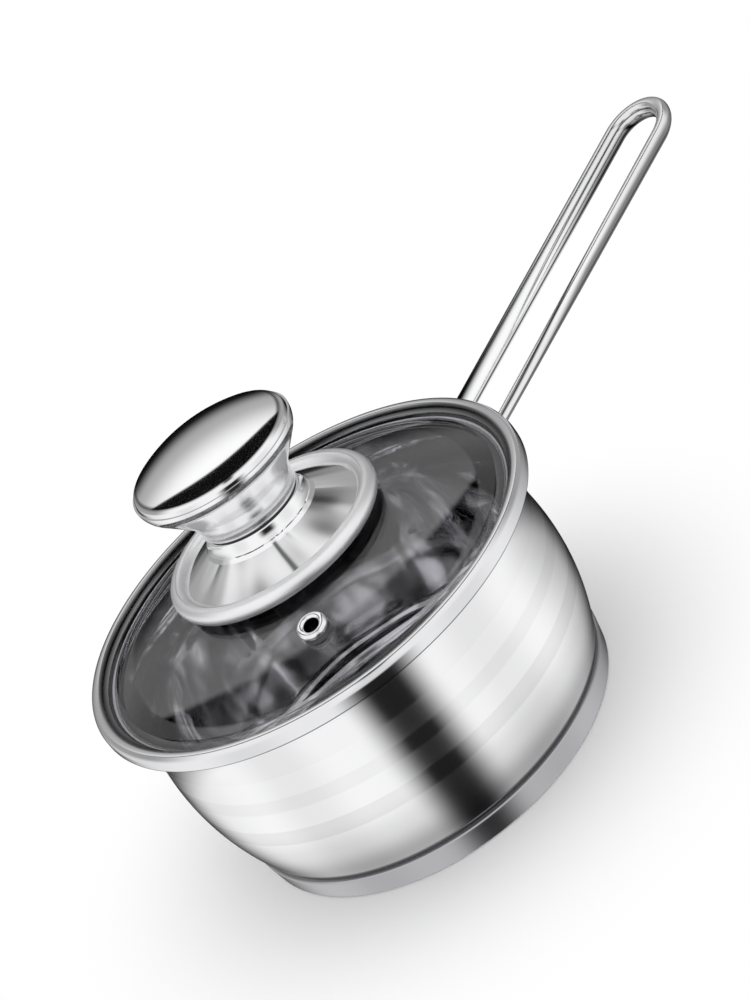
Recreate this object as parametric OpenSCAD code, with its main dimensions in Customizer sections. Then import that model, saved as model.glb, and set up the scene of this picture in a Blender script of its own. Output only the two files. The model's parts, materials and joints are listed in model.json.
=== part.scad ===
// Lidded stainless saucepan with a long loop handle.
// Origin: centre of the underside of the base. +Z is up, +X runs along the handle.

/* [Pan body] */
// Largest outer radius of the belly
belly_r = 77.4; // [76.5:0.1:79]
// Height of the largest radius above the base
belly_z = 45.3; // [44:0.1:47]
// Radius of the arc that shapes the belly
belly_arc_r = 91.5; // [88:0.5:96]
// Outer radius of the corner between floor and wall
corner_r = 12; // [11:0.5:13]
// Height above the belly where the wall starts to flare
flare_start_h = 10; // [9:0.5:11]
// Radius of the flare below the lip
flare_arc_r = 40; // [38:0.5:43]
// Height of the top of the lip above the base
lip_top_z = 78.3; // [77:0.1:79]
// Radius of the rolled bead on the lip
lip_bead_r = 1.3; // [1.1:0.05:1.5]
// Wall of the drawn steel body
shell_wall = 0.8; // [0.6:0.05:1]

/* [Base] */
// Height of the base capsule
base_h = 9.1; // [8.8:0.1:10]
// Radius of the base where it stands
base_foot_r = 70; // [69.4:0.1:70.4]
// Radius of the top edge of the base
base_top_r = 71.1; // [70.9:0.1:71.6]
// Wall of the steel capsule
base_wall = 0.6; // [0.5:0.05:0.7]
// Height of the aluminium core below the pan floor
core_h = 4.4; // [4:0.1:5]
// Radius of the lower edge of the capsule
base_foot_round = 1.4; // [1:0.1:1.8]
// Radius of the upper edge of the capsule
base_top_round = 0.9; // [0.7:0.1:1.1]

/* [Handle] */
// Rise of the handle above level, in degrees
handle_rise = 15.6; // [13:0.1:17]
// Level gap between the rim band and the point where the handle starts to show
handle_show_gap = 0.9; // [0.5:0.1:2]
// Depth of the tube centre at that point below the flange of the rim band
handle_drop = 4.4; // [4:0.1:5]
// Level length from that point to the centre of the tube at the tip
handle_reach = 124; // [95:1:145]
// Half of the distance between the centres of the two legs
leg_half_gap = 12.2; // [11:0.1:13.5]
// Larger half width of the flattened tube
tube_major = 3.6; // [3.3:0.05:4]
// Smaller half width of the tube beside the pan
tube_minor_root = 1.9; // [1.8:0.05:2.2]
// Smaller half width of the tube at the tip
tube_minor_tip = 2.7; // [2.3:0.05:3]
// Lean of the flattened section out of the plane of the loop, in degrees
tube_lean = 50; // [40:1:60]
// Wall of the handle tube
tube_wall = 0.7; // [0.6:0.05:0.8]
// Thickness of the welded bracket plate
bracket_t = 1.4; // [1.2:0.1:1.6]
// Height of the bracket plate
bracket_h = 13; // [12:0.5:14]
// Gap between the bracket plate and the bead on the lip
bracket_lip_gap = 1.7; // [1.4:0.1:2.4]
// Half of the angle that the bracket plate spans, in degrees
bracket_half_angle = 14.5; // [14:0.5:17]
// Length of the bracket collars that the tube ends butt against
collar_l = 3; // [2.8:0.1:3.4]
// Length of the tenons inside the tube ends
tenon_l = 9; // [7:0.5:12]

/* [Lid] */
// Height of the crest of the rim band above the glass
band_crest_h = 2.8; // [2.6:0.1:3]
// How far the crest of the rim band stands outside the middle of the lip
band_crest_reach = 2.1; // [1.8:0.1:2.6]
// How far the outer face of the rim band stands outside its crest
band_edge_reach = 2.9; // [2.6:0.1:3.2]
// How far the hem of the rim band lies inside its crest
band_hem_reach = 3.4; // [3:0.1:3.8]
// Thickness of the band steel
band_t = 0.6; // [0.5:0.05:0.65]
// Gap between the lip and the skirt of the rim band inside the pan
band_skirt_gap = 2.4; // [2:0.1:3]
// Depth of that skirt below its flange
band_skirt_h = 6; // [5:0.5:7]
// Thickness of the glass
glass_t = 3; // [2.8:0.1:3.4]
// Gap between the edge of the glass and the outer face of the rim band
glass_edge_gap = 1.7; // [1.2:0.1:2]
// Width of the flat rim of the glass inside the hem
glass_flat_w = 2.8; // [2.4:0.1:3.6]
// Radius of the sphere of the dome
dome_arc_r = 170; // [165:1:185]
// Radius that blends the dome into the flat rim
dome_blend_r = 8; // [6:0.5:9]

/* [Steam vent] */
// Distance of the vent from the lid axis
vent_r = 52.2; // [48:0.1:58]
// Direction of the vent round the lid, in degrees from the handle
vent_angle = -117.5; // [-180:0.5:180]
// Radius of the open bore
vent_bore_r = 2.5; // [2.2:0.1:2.7]
// Wall of the eyelet barrel
vent_wall = 0.6; // [0.5:0.05:0.7]
// Outer radius of the rolled flange
vent_flange_r = 5.3; // [5:0.1:5.8]
// Height of the rolled flange
vent_flange_h = 1.7; // [1.4:0.1:2]
// Thickness of the vent gasket
vent_gasket_t = 0.6; // [0.5:0.1:0.8]
// Thickness of the washer under the glass
vent_washer_t = 0.6; // [0.5:0.1:0.8]

/* [Knob] */
// Thickness of both silicone gaskets on the glass
gasket_t = 1.2; // [1:0.1:1.6]
// Radius of both gaskets
gasket_r = 12; // [11:0.5:13]
// Height from the upper gasket to the top of the skirt
skirt_rise = 12.7; // [12:0.1:13.5]
// Radius of the neck of the skirt
skirt_neck_r = 18.6; // [18:0.1:19]
// Radius of the hollow curve below the neck of the skirt
skirt_neck_arc_r = 5.5; // [5:0.5:7]
// Outer radius of the skirt
skirt_outer_r = 40.1; // [39.5:0.1:41]
// Radius of the rolled edge of the skirt
skirt_roll_r = 3.2; // [3:0.1:3.6]
// Angle on the rolled edge where the crease is, in degrees
skirt_crease_angle = 155; // [145:1:165]
// Steel of the skirt and of the knob
knob_sheet = 0.7; // [0.6:0.05:0.8]
// Thickness of the insulating ring
spacer_t = 0.8; // [0.6:0.1:1.2]
// Radius of the insulating ring
spacer_r = 17.6; // [17:0.1:18]
// Radius of the neck of the knob
cup_neck_r = 18.5; // [18:0.1:19]
// Radius of the rim of the knob cup
cup_rim_r = 30.4; // [29.5:0.1:31.5]
// Height of the straight neck of the knob cup
cup_neck_h = 0.7; // [0.5:0.1:2]
// Lean of the flare of the knob cup, in degrees
cup_flare = 41; // [39:0.5:43]
// Radius of the hollow curve at the neck of the cup
cup_neck_arc_r = 12; // [11:0.5:13]
// Radius of the round curve at the rim of the cup
cup_rim_arc_r = 8; // [7:0.5:9]
// Radius of the sphere of the knob cap
cap_arc_r = 60; // [55:1:65]
// Radius of the rolled edge of the knob cap
cap_roll_r = 1.6; // [1.4:0.1:1.8]
// Height of the straight side of the cap that shows above the cup
cap_reveal = 0.6; // [0.4:0.1:0.8]
// Depth that the cap reaches into the cup
cap_insert = 1.6; // [1.2:0.1:2]

/* [Fasteners] */
// Radius of the knob screw
screw_r = 2.5; // [2.5:0.5:3]
// Radius of the screw head
screw_head_r = 4.8; // [4.6:0.1:5.2]
// Height of the screw head
screw_head_h = 2.6; // [2.2:0.1:3]
// Width of the drive slot
slot_w = 1.2; // [1:0.1:1.4]
// Depth of the drive slot
slot_h = 1.4; // [1.2:0.1:1.6]
// Thickness of the steel washer
washer_t = 1; // [0.8:0.1:1.4]
// Radius of the steel washer
washer_r = 10; // [9:0.5:11]
// Width of the knob nut across its flats
nut_flats = 10; // [9:0.5:11]
// Height of the knob nut
nut_h = 9; // [8:0.5:11]
// Thickness of the plate that holds the nut
bridge_t = 1.2; // [1:0.1:1.4]
// Height of that plate above the bottom of the cup
bridge_z = 4; // [3.5:0.1:5]
// Radius of the foot of the knob sleeve
sleeve_foot_r = 11; // [10:0.5:12]
// Radius of the tube of the knob sleeve
sleeve_r = 7; // [6:0.5:8]
// Thickness of the foot of the knob sleeve
sleeve_foot_t = 1.2; // [1:0.1:1.5]

/* [Fits] */
// Gap between the lid and the lip at rest
lid_seat_gap = 0.2; // [0.15:0.01:0.3]
// Radial gap of loose holes round the screw
screw_clearance = 0.3; // [0.2:0.05:0.5]
// Radial gap of the thread and of the pressed parts
press_clearance = 0.06; // [0.05:0.01:0.09]
// Gap between each tenon and its tube
tenon_clearance = 0.15; // [0.1:0.01:0.2]
// Gap between the curved underside of the glass and what presses on it
seat_clearance = 0.07; // [0.06:0.01:0.1]

/* [Hidden] */
$fn = 96;
// Largest angle between two points of a wide arc and of a small round
wide_arc_step = 3;
small_arc_step = 10;
// How far a cut runs past the face it opens
cut_overrun = 1;
steel = "#c9cacd";
polished = "#dcdde0";
aluminium = "#b4b7ba";
silicone = "#d8dadb";
black = "#1c1c1e";
clear = "#9fb0b8";

// Points of an arc round [x, z] from angle a0 to angle a1
function arc(x, z, r, a0, a1) =
    let (step = r > belly_r / 3 ? wide_arc_step : small_arc_step, n = max(2, ceil(abs(a1 - a0) / step)))
    [for (i = [0:n]) let (a = a0 + (a1 - a0) * i / n) [x + r * cos(a), z + r * sin(a)]];

function reversed(list) = [for (i = [len(list) - 1:-1:0]) list[i]];

// Pan wall: floor, corner arc, belly arc and flare arc, each tangent to the next
floor_z = base_wall + core_h;
belly_cx = belly_r - belly_arc_r;
corner_cz = floor_z + corner_r;
corner_reach = belly_arc_r - corner_r;
corner_cx = belly_cx + sqrt(pow(corner_reach, 2) - pow(belly_z - corner_cz, 2));
corner_angle = -asin((belly_z - corner_cz) / corner_reach);
flare_angle = asin(flare_start_h / belly_arc_r);
flare_cx = belly_cx + (belly_arc_r + flare_arc_r) * cos(flare_angle);
flare_cz = belly_z + (belly_arc_r + flare_arc_r) * sin(flare_angle);
lip_cz = lip_top_z - lip_bead_r;
lip_mid_r = flare_arc_r + shell_wall / 2;
lip_angle = asin((lip_cz - flare_cz) / lip_mid_r);
lip_cx = flare_cx - lip_mid_r * cos(lip_angle);

// Wall line at depth d below the outer surface, from the axis to the lip
function wall_line(d) = concat(
    [[0, floor_z + d]],
    arc(corner_cx, corner_cz, corner_r - d, -90, corner_angle),
    arc(belly_cx, belly_z, belly_arc_r - d, corner_angle, flare_angle),
    arc(flare_cx, flare_cz, flare_arc_r + d, 180 + flare_angle, 180 - lip_angle));

// Outer radius of the flared wall at height z
function flare_radius(z) = flare_cx - sqrt(pow(flare_arc_r, 2) - pow(z - flare_cz, 2));

module wall_solid() {
    polygon(concat(wall_line(0), [[0, lip_cz]]));
}

module pan_shell() {
    color(steel) rotate_extrude() {
        polygon(concat(wall_line(0), reversed(wall_line(shell_wall))));
        translate([lip_cx, lip_cz]) circle(r = lip_bead_r);
    }
}

// Capsule outline at depth d below its outer surface
side_lean = atan2(base_top_r - base_foot_r, base_h - base_foot_round);
module capsule_outline(d) {
    foot_r = base_foot_round - d;
    top_r = base_top_round - min(d, base_top_round / 2);
    polygon(concat(
        [[0, d]],
        arc(base_foot_r - base_foot_round, base_foot_round, foot_r, -90, -side_lean),
        arc(base_top_r - base_top_round, base_h - base_top_round, top_r - max(0, d - base_top_round / 2),
            -side_lean, 90),
        [[0, base_h - d]]));
}

module base_core() {
    color(aluminium) rotate_extrude() difference() {
        capsule_outline(base_wall);
        wall_solid();
    }
}

module base_cap() {
    color(steel) rotate_extrude() difference() {
        capsule_outline(0);
        capsule_outline(base_wall);
        wall_solid();
    }
}

// Levels of the lid, from the lip upward
flange_z = lip_top_z + lid_seat_gap;
glass_foot_z = flange_z + band_t;
glass_rim_z = glass_foot_z + glass_t;
crest_z = glass_rim_z + band_crest_h;

// Radii of the lid, from the lip outward and inward
band_crest_r = lip_cx + band_crest_reach;
band_outer_r = band_crest_r + band_edge_reach;
band_hem_r = band_crest_r - band_hem_reach;
band_skirt_r = lip_cx - lip_bead_r - band_skirt_gap;
glass_r = band_outer_r - band_t - glass_edge_gap;
dome_foot_r = band_hem_r - glass_flat_w;

// Handle frame: s runs up the handle from the point where it starts to show, y is level
handle_ref_x = band_outer_r + handle_show_gap;
handle_ref_z = flange_z - handle_drop;
leg_end_s = handle_reach / cos(handle_rise) - leg_half_gap;
bracket_mid_z = lip_cz - lip_bead_r - bracket_lip_gap - bracket_h / 2;
bracket_face_r = flare_radius(bracket_mid_z) + bracket_t;
collar_root_s = -(handle_ref_x - bracket_face_r) / cos(handle_rise);
leg_root_s = collar_root_s + collar_l;
leg_steps = 8;
bend_steps = 14;
tube_sides = 24;

module handle_frame() {
    translate([handle_ref_x, 0, handle_ref_z]) rotate([0, -handle_rise, 0]) children();
}

// Stations along the tube: [s, y, outward s, outward y, share of the way to the tip]
function leg_stations(side) = [for (i = [0:leg_steps])
    let (k = i / leg_steps) [leg_root_s + (leg_end_s - leg_root_s) * k, side * leg_half_gap, 0, side, k]];
function bend_stations() = [for (i = [1:bend_steps - 1])
    let (a = 90 - 180 * i / bend_steps)
    [leg_end_s + leg_half_gap * cos(a), leg_half_gap * sin(a), cos(a), sin(a), 1]];
function tube_stations() = concat(leg_stations(1), bend_stations(), reversed(leg_stations(-1)));

// Smaller half width of the tube at a share of the way to the tip
function tube_minor(k) = tube_minor_root + (tube_minor_tip - tube_minor_root) * k;

// One point of the oval section: first outward, then up
function oval_point(a, major, minor) = [
    major * cos(a) * cos(tube_lean) - minor * sin(a) * sin(tube_lean),
    major * cos(a) * sin(tube_lean) + minor * sin(a) * cos(tube_lean)];

function tube_ring(st, d) = [for (i = [0:tube_sides - 1])
    let (p = oval_point(360 * i / tube_sides, tube_major - d, tube_minor(st[4]) - d))
    [st[0] + st[2] * p[0], st[1] + st[3] * p[0], p[1]]];

module handle_loop() {
    stations = tube_stations();
    rings = len(stations);
    outer = [for (st = stations) each tube_ring(st, 0)];
    inner = [for (st = stations) each tube_ring(st, tube_wall)];
    first_inner = len(outer);
    last = (rings - 1) * tube_sides;
    faces = [for (i = [0:tube_sides - 1]) let (j = (i + 1) % tube_sides) each concat(
        [for (r = [0:rings - 2]) let (a = r * tube_sides, b = a + tube_sides)
            each [[a + i, b + i, b + j], [a + i, b + j, a + j],
                  [first_inner + a + i, first_inner + b + j, first_inner + b + i],
                  [first_inner + a + i, first_inner + a + j, first_inner + b + j]]],
        [[i, j, first_inner + j], [i, first_inner + j, first_inner + i],
         [last + i, first_inner + last + j, last + j],
         [last + i, first_inner + last + i, first_inner + last + j]])];
    color(polished) handle_frame() polyhedron(points = concat(outer, inner), faces = faces);
}

// Straight bar with the oval section of a leg, from s0 to s1
module leg_bar(side, s0, s1, major, minor) {
    outline = [for (i = [0:tube_sides - 1])
        let (p = oval_point(360 * i / tube_sides, major, minor)) [-p[1], side * (leg_half_gap + p[0])]];
    translate([s0, 0, 0]) rotate([0, 90, 0]) linear_extrude(height = s1 - s0) polygon(outline);
}

module handle_bracket() {
    low_z = bracket_mid_z - bracket_h / 2;
    high_z = bracket_mid_z + bracket_h / 2;
    low_angle = asin((low_z - flare_cz) / flare_arc_r);
    high_angle = asin((high_z - flare_cz) / flare_arc_r);
    color(steel) union() {
        rotate([0, 0, -bracket_half_angle]) rotate_extrude(angle = 2 * bracket_half_angle)
            polygon(concat(
                arc(flare_cx, flare_cz, flare_arc_r, 180 - low_angle, 180 - high_angle),
                arc(flare_cx, flare_cz, flare_arc_r - bracket_t, 180 - high_angle, 180 - low_angle)));
        handle_frame() for (side = [-1, 1]) {
            difference() {
                leg_bar(side, collar_root_s - collar_l, leg_root_s, tube_major, tube_minor_root);
                bracket_clear(side);
            }
            leg_bar(side, leg_root_s - collar_l / 2, leg_root_s + tenon_l,
                    tube_major - tube_wall - tenon_clearance,
                    tube_minor_root - tube_wall - tenon_clearance);
        }
    }
}

// Removes the part of a collar that would reach through the pan wall
module bracket_clear(side) {
    rotate([0, handle_rise, 0]) translate([-handle_ref_x, 0, -handle_ref_z])
        rotate_extrude() polygon(concat(wall_line(-bracket_t / 2), [[0, lip_cz]]));
}

dome_cz = glass_rim_z - sqrt(pow(dome_arc_r, 2) - pow(dome_foot_r, 2));
glass_top_z = dome_cz + dome_arc_r;
hole_r = screw_r + 2 * screw_clearance;

// Dome to rim blend: centre of the fillet and the angle where it meets the sphere
blend_cz = glass_rim_z + dome_blend_r;
blend_angle = acos((blend_cz - dome_cz) / (dome_arc_r + dome_blend_r));
blend_cx = (dome_arc_r + dome_blend_r) * sin(blend_angle);

// Surface of the glass at depth d below its top, from radius r outward to the edge
function glass_line(r, d) = concat(
    arc(0, dome_cz, dome_arc_r - d, acos(r / (dome_arc_r - d)), 90 - blend_angle),
    arc(blend_cx, blend_cz, dome_blend_r + d, 270 - blend_angle, 270),
    [[glass_r, glass_rim_z - d]]);

// Height of the glass at radius r and depth d
function glass_z(r, d) = dome_cz + sqrt(pow(dome_arc_r - d, 2) - pow(r, 2));

module vent_frame() {
    rotate([0, 0, vent_angle]) translate([0, 0, dome_cz])
        rotate([0, asin(vent_r / dome_arc_r), 0]) translate([0, 0, dome_arc_r]) children();
}

module lid_glass() {
    color(clear, 0.5) difference() {
        rotate_extrude() polygon(concat(glass_line(hole_r, 0), reversed(glass_line(hole_r, glass_t))));
        vent_frame() translate([0, 0, -glass_t - cut_overrun])
            cylinder(r = vent_bore_r + vent_wall + screw_clearance, h = glass_t + 2 * cut_overrun);
    }
}

// Rim band: hem on the glass, crest bead, outer edge, flange under the glass and skirt
hem_lift = band_crest_h / 3;
crest_in_r = band_crest_h - hem_lift;
crest_out_r = band_outer_r - band_crest_r;
edge_round = 3 * band_t;
flange_round = 2 * band_t;

function band_side(d) = concat(
    arc(band_crest_r, crest_z - crest_in_r, crest_in_r - d, 180, 90),
    arc(band_crest_r, crest_z - crest_out_r, crest_out_r - d, 90, 0),
    arc(band_outer_r - edge_round, flange_z + edge_round, edge_round - d, 0, -90),
    arc(band_skirt_r + flange_round, flange_z - flange_round, flange_round + d, 90, 180),
    [[band_skirt_r - d, flange_z - band_skirt_h]]);

module lid_band() {
    hem_top = [band_hem_r, glass_rim_z + band_t / 2];
    hem_foot = [band_hem_r, glass_rim_z];
    hem_heel = [band_hem_r + 2 * band_t, glass_rim_z];
    color(polished) rotate_extrude() polygon(concat(
        [hem_heel, hem_foot, hem_top], band_side(0), reversed(band_side(band_t))));
}

// Steam vent: a rolled eyelet through a gasket and the glass, over a washer
barrel_r = vent_bore_r + vent_wall;
glass_under_r = dome_arc_r - glass_t;
vent_sag = glass_under_r - sqrt(pow(glass_under_r, 2) - pow(vent_flange_r, 2));
vent_under = -glass_t - vent_sag - seat_clearance - vent_washer_t;
vent_curl = vent_wall;

module vent_eyelet() {
    flange_mid = (vent_bore_r + vent_flange_r) / 2;
    flange_half = (vent_flange_r - vent_bore_r) / 2;
    color(polished) vent_frame() rotate_extrude() {
        polygon([
            [vent_bore_r, vent_under - vent_curl], [barrel_r + vent_wall, vent_under - vent_curl],
            [barrel_r + vent_wall, vent_under], [barrel_r, vent_under],
            [barrel_r, vent_gasket_t], [vent_flange_r, vent_gasket_t],
            for (a = [0:15:180])
                [flange_mid + flange_half * cos(a), vent_gasket_t + vent_flange_h * (1 + 2 * sin(a)) / 3]]);
    }
}

module vent_ring(r, z, h) {
    translate([0, 0, z]) difference() {
        cylinder(r = r, h = h);
        translate([0, 0, -cut_overrun]) cylinder(r = barrel_r + press_clearance, h = h + 2 * cut_overrun);
    }
}

module vent_washer() {
    color(steel) vent_frame() vent_ring(vent_flange_r, vent_under, vent_washer_t);
}

module vent_gasket() {
    color(silicone) vent_frame() vent_ring(vent_flange_r - vent_wall, 0, vent_gasket_t);
}

// Knob stack: levels from the glass upward
sleeve_z = glass_top_z + gasket_t;
skirt_top_z = sleeve_z + skirt_rise;
cup_z = skirt_top_z + spacer_t;
hole_line = screw_r + screw_clearance;

// Knob skirt: neck plate, hollow curve, cone, crease and rolled edge
roll_cx = skirt_outer_r - skirt_roll_r;
roll_cz = skirt_top_z - skirt_rise - gasket_t / 2;
neck_turn = 56;
curl_angle = -40;

function skirt_line(d) = concat(
    [[hole_line, skirt_top_z - d]],
    arc(skirt_neck_r - knob_sheet, skirt_top_z - knob_sheet, knob_sheet - d, 90, 0),
    arc(skirt_neck_r + skirt_neck_arc_r, skirt_top_z - knob_sheet, skirt_neck_arc_r + d, 180, 180 + neck_turn),
    arc(roll_cx, roll_cz, skirt_roll_r - d, skirt_crease_angle, curl_angle));

module knob_skirt() {
    color(polished) rotate_extrude() polygon(concat(skirt_line(0), reversed(skirt_line(knob_sheet))));
}

module skirt_gasket() {
    color(silicone) rotate_extrude() polygon(concat(
        arc(0, dome_cz, dome_arc_r, acos(hole_r / dome_arc_r), acos(gasket_r / dome_arc_r)),
        [[gasket_r, sleeve_z], [hole_r, sleeve_z]]));
}

press_under_r = glass_under_r - seat_clearance;
gasket_under_z = glass_z(gasket_r, glass_t + seat_clearance) - gasket_t;

module glass_gasket() {
    color(silicone) rotate_extrude() polygon(concat(
        arc(0, dome_cz, press_under_r, acos(hole_r / press_under_r), acos(gasket_r / press_under_r)),
        [[gasket_r, gasket_under_z], [hole_r, gasket_under_z]]));
}

module knob_sleeve() {
    color(steel) difference() {
        union() {
            translate([0, 0, sleeve_z]) cylinder(r = sleeve_foot_r, h = sleeve_foot_t);
            translate([0, 0, sleeve_z]) cylinder(r = sleeve_r, h = skirt_rise - knob_sheet);
        }
        screw_hole(sleeve_z, skirt_rise);
    }
}

module screw_hole(z, h) {
    translate([0, 0, z - cut_overrun]) cylinder(r = hole_line, h = h + 2 * cut_overrun);
}

module knob_spacer() {
    color(black) difference() {
        translate([0, 0, skirt_top_z]) cylinder(r = spacer_r, h = spacer_t);
        screw_hole(skirt_top_z, spacer_t);
    }
}

// Knob cup: bottom plate, neck curve, flare and rim curve
rim_arc_cx = cup_rim_r - cup_rim_arc_r;
neck_arc_cx = cup_neck_r + cup_neck_arc_r;
neck_arc_cz = cup_z + knob_sheet + cup_neck_h;
cup_arcs_r = cup_rim_arc_r + cup_neck_arc_r;
cup_cone_w = rim_arc_cx - neck_arc_cx + cup_arcs_r * cos(cup_flare);
cup_rim_z = neck_arc_cz + cup_arcs_r * sin(cup_flare) + cup_cone_w / tan(cup_flare);

function cup_line(d) = concat(
    [[hole_line, cup_z + d]],
    arc(cup_neck_r - knob_sheet, cup_z + knob_sheet, knob_sheet - d, -90, 0),
    arc(neck_arc_cx, neck_arc_cz, cup_neck_arc_r + d, 180, 180 - cup_flare),
    arc(rim_arc_cx, cup_rim_z, cup_rim_arc_r - d, -cup_flare, 0));

module knob_cup() {
    color(polished) rotate_extrude() polygon(concat(cup_line(0), reversed(cup_line(knob_sheet))));
}

// Knob cap: domed top, rolled edge and a straight side pressed into the cup
cap_side_r = rim_arc_cx + sqrt(pow(cup_rim_arc_r - knob_sheet, 2) - pow(cap_insert, 2)) - press_clearance;
cap_roll_cz = cup_rim_z + cap_reveal;
cap_roll_cx = cap_side_r - cap_roll_r;
cap_cz = cap_roll_cz - sqrt(pow(cap_arc_r - cap_roll_r, 2) - pow(cap_roll_cx, 2));
cap_angle = acos(cap_roll_cx / (cap_arc_r - cap_roll_r));

function cap_line(d) = concat(
    arc(0, cap_cz, cap_arc_r - d, 90, cap_angle),
    arc(cap_roll_cx, cap_roll_cz, cap_roll_r - d, cap_angle, 0),
    [[cap_side_r - d, cup_rim_z - cap_insert]]);

module knob_cap() {
    color(polished) rotate_extrude() polygon(concat(cap_line(0), reversed(cap_line(knob_sheet))));
}

// Nut and the plate that stops it turning
nut_z = cup_z + knob_sheet;
nut_corner_r = nut_flats / sqrt(3);

module knob_nut() {
    color(steel) difference() {
        translate([0, 0, nut_z]) cylinder(r = nut_corner_r, h = nut_h, $fn = 6);
        translate([0, 0, nut_z - cut_overrun])
            cylinder(r = screw_r + press_clearance, h = nut_h + 2 * cut_overrun);
    }
}

module knob_bridge() {
    plate_z = cup_z + bridge_z;
    plate_r = neck_arc_cx - press_clearance
        - sqrt(pow(cup_neck_arc_r + knob_sheet, 2) - pow(plate_z - neck_arc_cz, 2));
    color(steel) difference() {
        translate([0, 0, plate_z]) cylinder(r = plate_r, h = bridge_t);
        translate([0, 0, plate_z - cut_overrun])
            cylinder(r = nut_corner_r + press_clearance, h = bridge_t + 2 * cut_overrun, $fn = 6);
    }
}

washer_z = gasket_under_z - washer_t;

module knob_screw() {
    head_z = washer_z - screw_head_h;
    color(steel) difference() {
        union() {
            translate([0, 0, head_z]) cylinder(r = screw_head_r, h = screw_head_h);
            translate([0, 0, head_z]) cylinder(r = screw_r, h = nut_z + nut_h - head_z);
        }
        for (turn = [0, 90]) rotate([0, 0, turn])
            translate([-screw_r, -slot_w / 2, head_z - cut_overrun])
                cube([2 * screw_r, slot_w, slot_h + cut_overrun]);
    }
}

module screw_washer() {
    color(steel) difference() {
        translate([0, 0, washer_z]) cylinder(r = washer_r, h = washer_t);
        screw_hole(washer_z, washer_t);
    }
}

pan_shell();
base_core();
base_cap();
handle_bracket();
handle_loop();
lid_glass();
lid_band();
vent_eyelet();
vent_washer();
vent_gasket();
knob_skirt();
skirt_gasket();
knob_sleeve();
knob_spacer();
knob_cup();
knob_cap();
knob_bridge();
knob_nut();
knob_screw();
screw_washer();
glass_gasket();
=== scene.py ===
"""Looks of a small lidded stainless saucepan: fine meshes, finishes, studio and camera.

Every length in the piece classes is in millimetres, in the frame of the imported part: the origin is the
centre of the underside of the base, +Z is up and +X runs along the handle.
"""

import json
import logging
import math
from dataclasses import dataclass
from enum import Enum
from typing import ClassVar, Iterable, Sequence

import bmesh
import bpy
from mathutils import Matrix, Vector

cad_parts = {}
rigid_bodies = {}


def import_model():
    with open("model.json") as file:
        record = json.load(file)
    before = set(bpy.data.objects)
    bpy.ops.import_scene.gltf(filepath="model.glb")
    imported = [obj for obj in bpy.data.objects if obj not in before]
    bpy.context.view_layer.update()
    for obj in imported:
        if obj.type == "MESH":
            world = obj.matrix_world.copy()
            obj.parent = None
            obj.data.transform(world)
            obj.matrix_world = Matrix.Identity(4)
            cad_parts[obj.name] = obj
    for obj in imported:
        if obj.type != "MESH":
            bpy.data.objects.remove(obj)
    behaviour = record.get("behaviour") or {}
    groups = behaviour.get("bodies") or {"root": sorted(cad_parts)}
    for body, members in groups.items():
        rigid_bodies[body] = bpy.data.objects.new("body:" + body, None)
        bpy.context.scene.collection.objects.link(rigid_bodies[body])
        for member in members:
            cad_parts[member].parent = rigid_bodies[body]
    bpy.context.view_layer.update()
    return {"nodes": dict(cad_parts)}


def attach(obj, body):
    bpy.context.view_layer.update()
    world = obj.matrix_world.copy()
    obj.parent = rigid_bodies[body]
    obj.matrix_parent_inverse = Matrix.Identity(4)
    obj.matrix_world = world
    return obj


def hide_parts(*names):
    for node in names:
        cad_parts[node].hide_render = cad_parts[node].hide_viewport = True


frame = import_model()

LOG = logging.getLogger("saucepan")
MM = 0.001
MARK = "mark"
BLACK = (0.0, 0.0, 0.0)
WELD = 0.000002
SLIVER = 0.0000005
SHARP_TURNED = 28.0
SHARP_SWEPT = 35.0
NEAR_ENDS = (0.04, 0.5, 0.96)
Point = tuple[float, float]
Points = list[Point]


class Body(Enum):
    """Moving bodies of the part."""

    PAN = "pan"
    LID = "lid"


class Slot(Enum):
    """Material slots of the part's record."""

    SATIN = "satin_steel"
    POLISHED = "polished_steel"
    BAND = "band_steel"
    KNOB = "knob_steel"
    FASTENER = "fastener_steel"
    ALUMINIUM = "aluminium"
    GLASS = "lid_glass"
    SILICONE = "clear_silicone"
    PLASTIC = "black_plastic"


# Shader maths


class Sock:
    """A shader socket that Python operators can be used on."""

    def __init__(self, shader: "Shader", socket: bpy.types.NodeSocket) -> None:
        """Keep the socket and the shader that it belongs to."""
        self.shader = shader
        self.socket = socket

    def _math(self, operation: str, *values: "Sock | float") -> "Sock":
        """Add a Math node with this operation on these values."""
        return self.shader.node("ShaderNodeMath", {"operation": operation}, dict(enumerate(values)))

    def __add__(self, other: "Sock | float") -> "Sock":
        """Sum."""
        return self._math("ADD", self, other)

    __radd__ = __add__

    def __mul__(self, other: "Sock | float") -> "Sock":
        """Product."""
        return self._math("MULTIPLY", self, other)

    __rmul__ = __mul__

    def __sub__(self, other: "Sock | float") -> "Sock":
        """Difference."""
        return self._math("SUBTRACT", self, other)

    def __rsub__(self, other: "Sock | float") -> "Sock":
        """Difference, the other way round."""
        return self._math("SUBTRACT", other, self)

    def __truediv__(self, other: "Sock | float") -> "Sock":
        """Quotient."""
        return self._math("DIVIDE", self, other)

    def __pow__(self, other: "Sock | float") -> "Sock":
        """Power."""
        return self._math("POWER", self, other)

    def __abs__(self) -> "Sock":
        """Absolute value."""
        return self._math("ABSOLUTE", self)

    def most(self, other: "Sock | float") -> "Sock":
        """The larger of two values."""
        return self._math("MAXIMUM", self, other)

    def step(self, start: float, end: float) -> "Sock":
        """Go smoothly from 0 at start to 1 at end.

        Args:
            start: value where the step is still 0.
            end: value where the step has reached 1.

        Returns:
            The smooth step, from 0 to 1.
        """
        return self.shader.node(
            "ShaderNodeMapRange",
            {"interpolation_type": "SMOOTHSTEP"},
            {"Value": self, "From Min": start, "From Max": end, "To Min": 0.0, "To Max": 1.0},
        )


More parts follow.
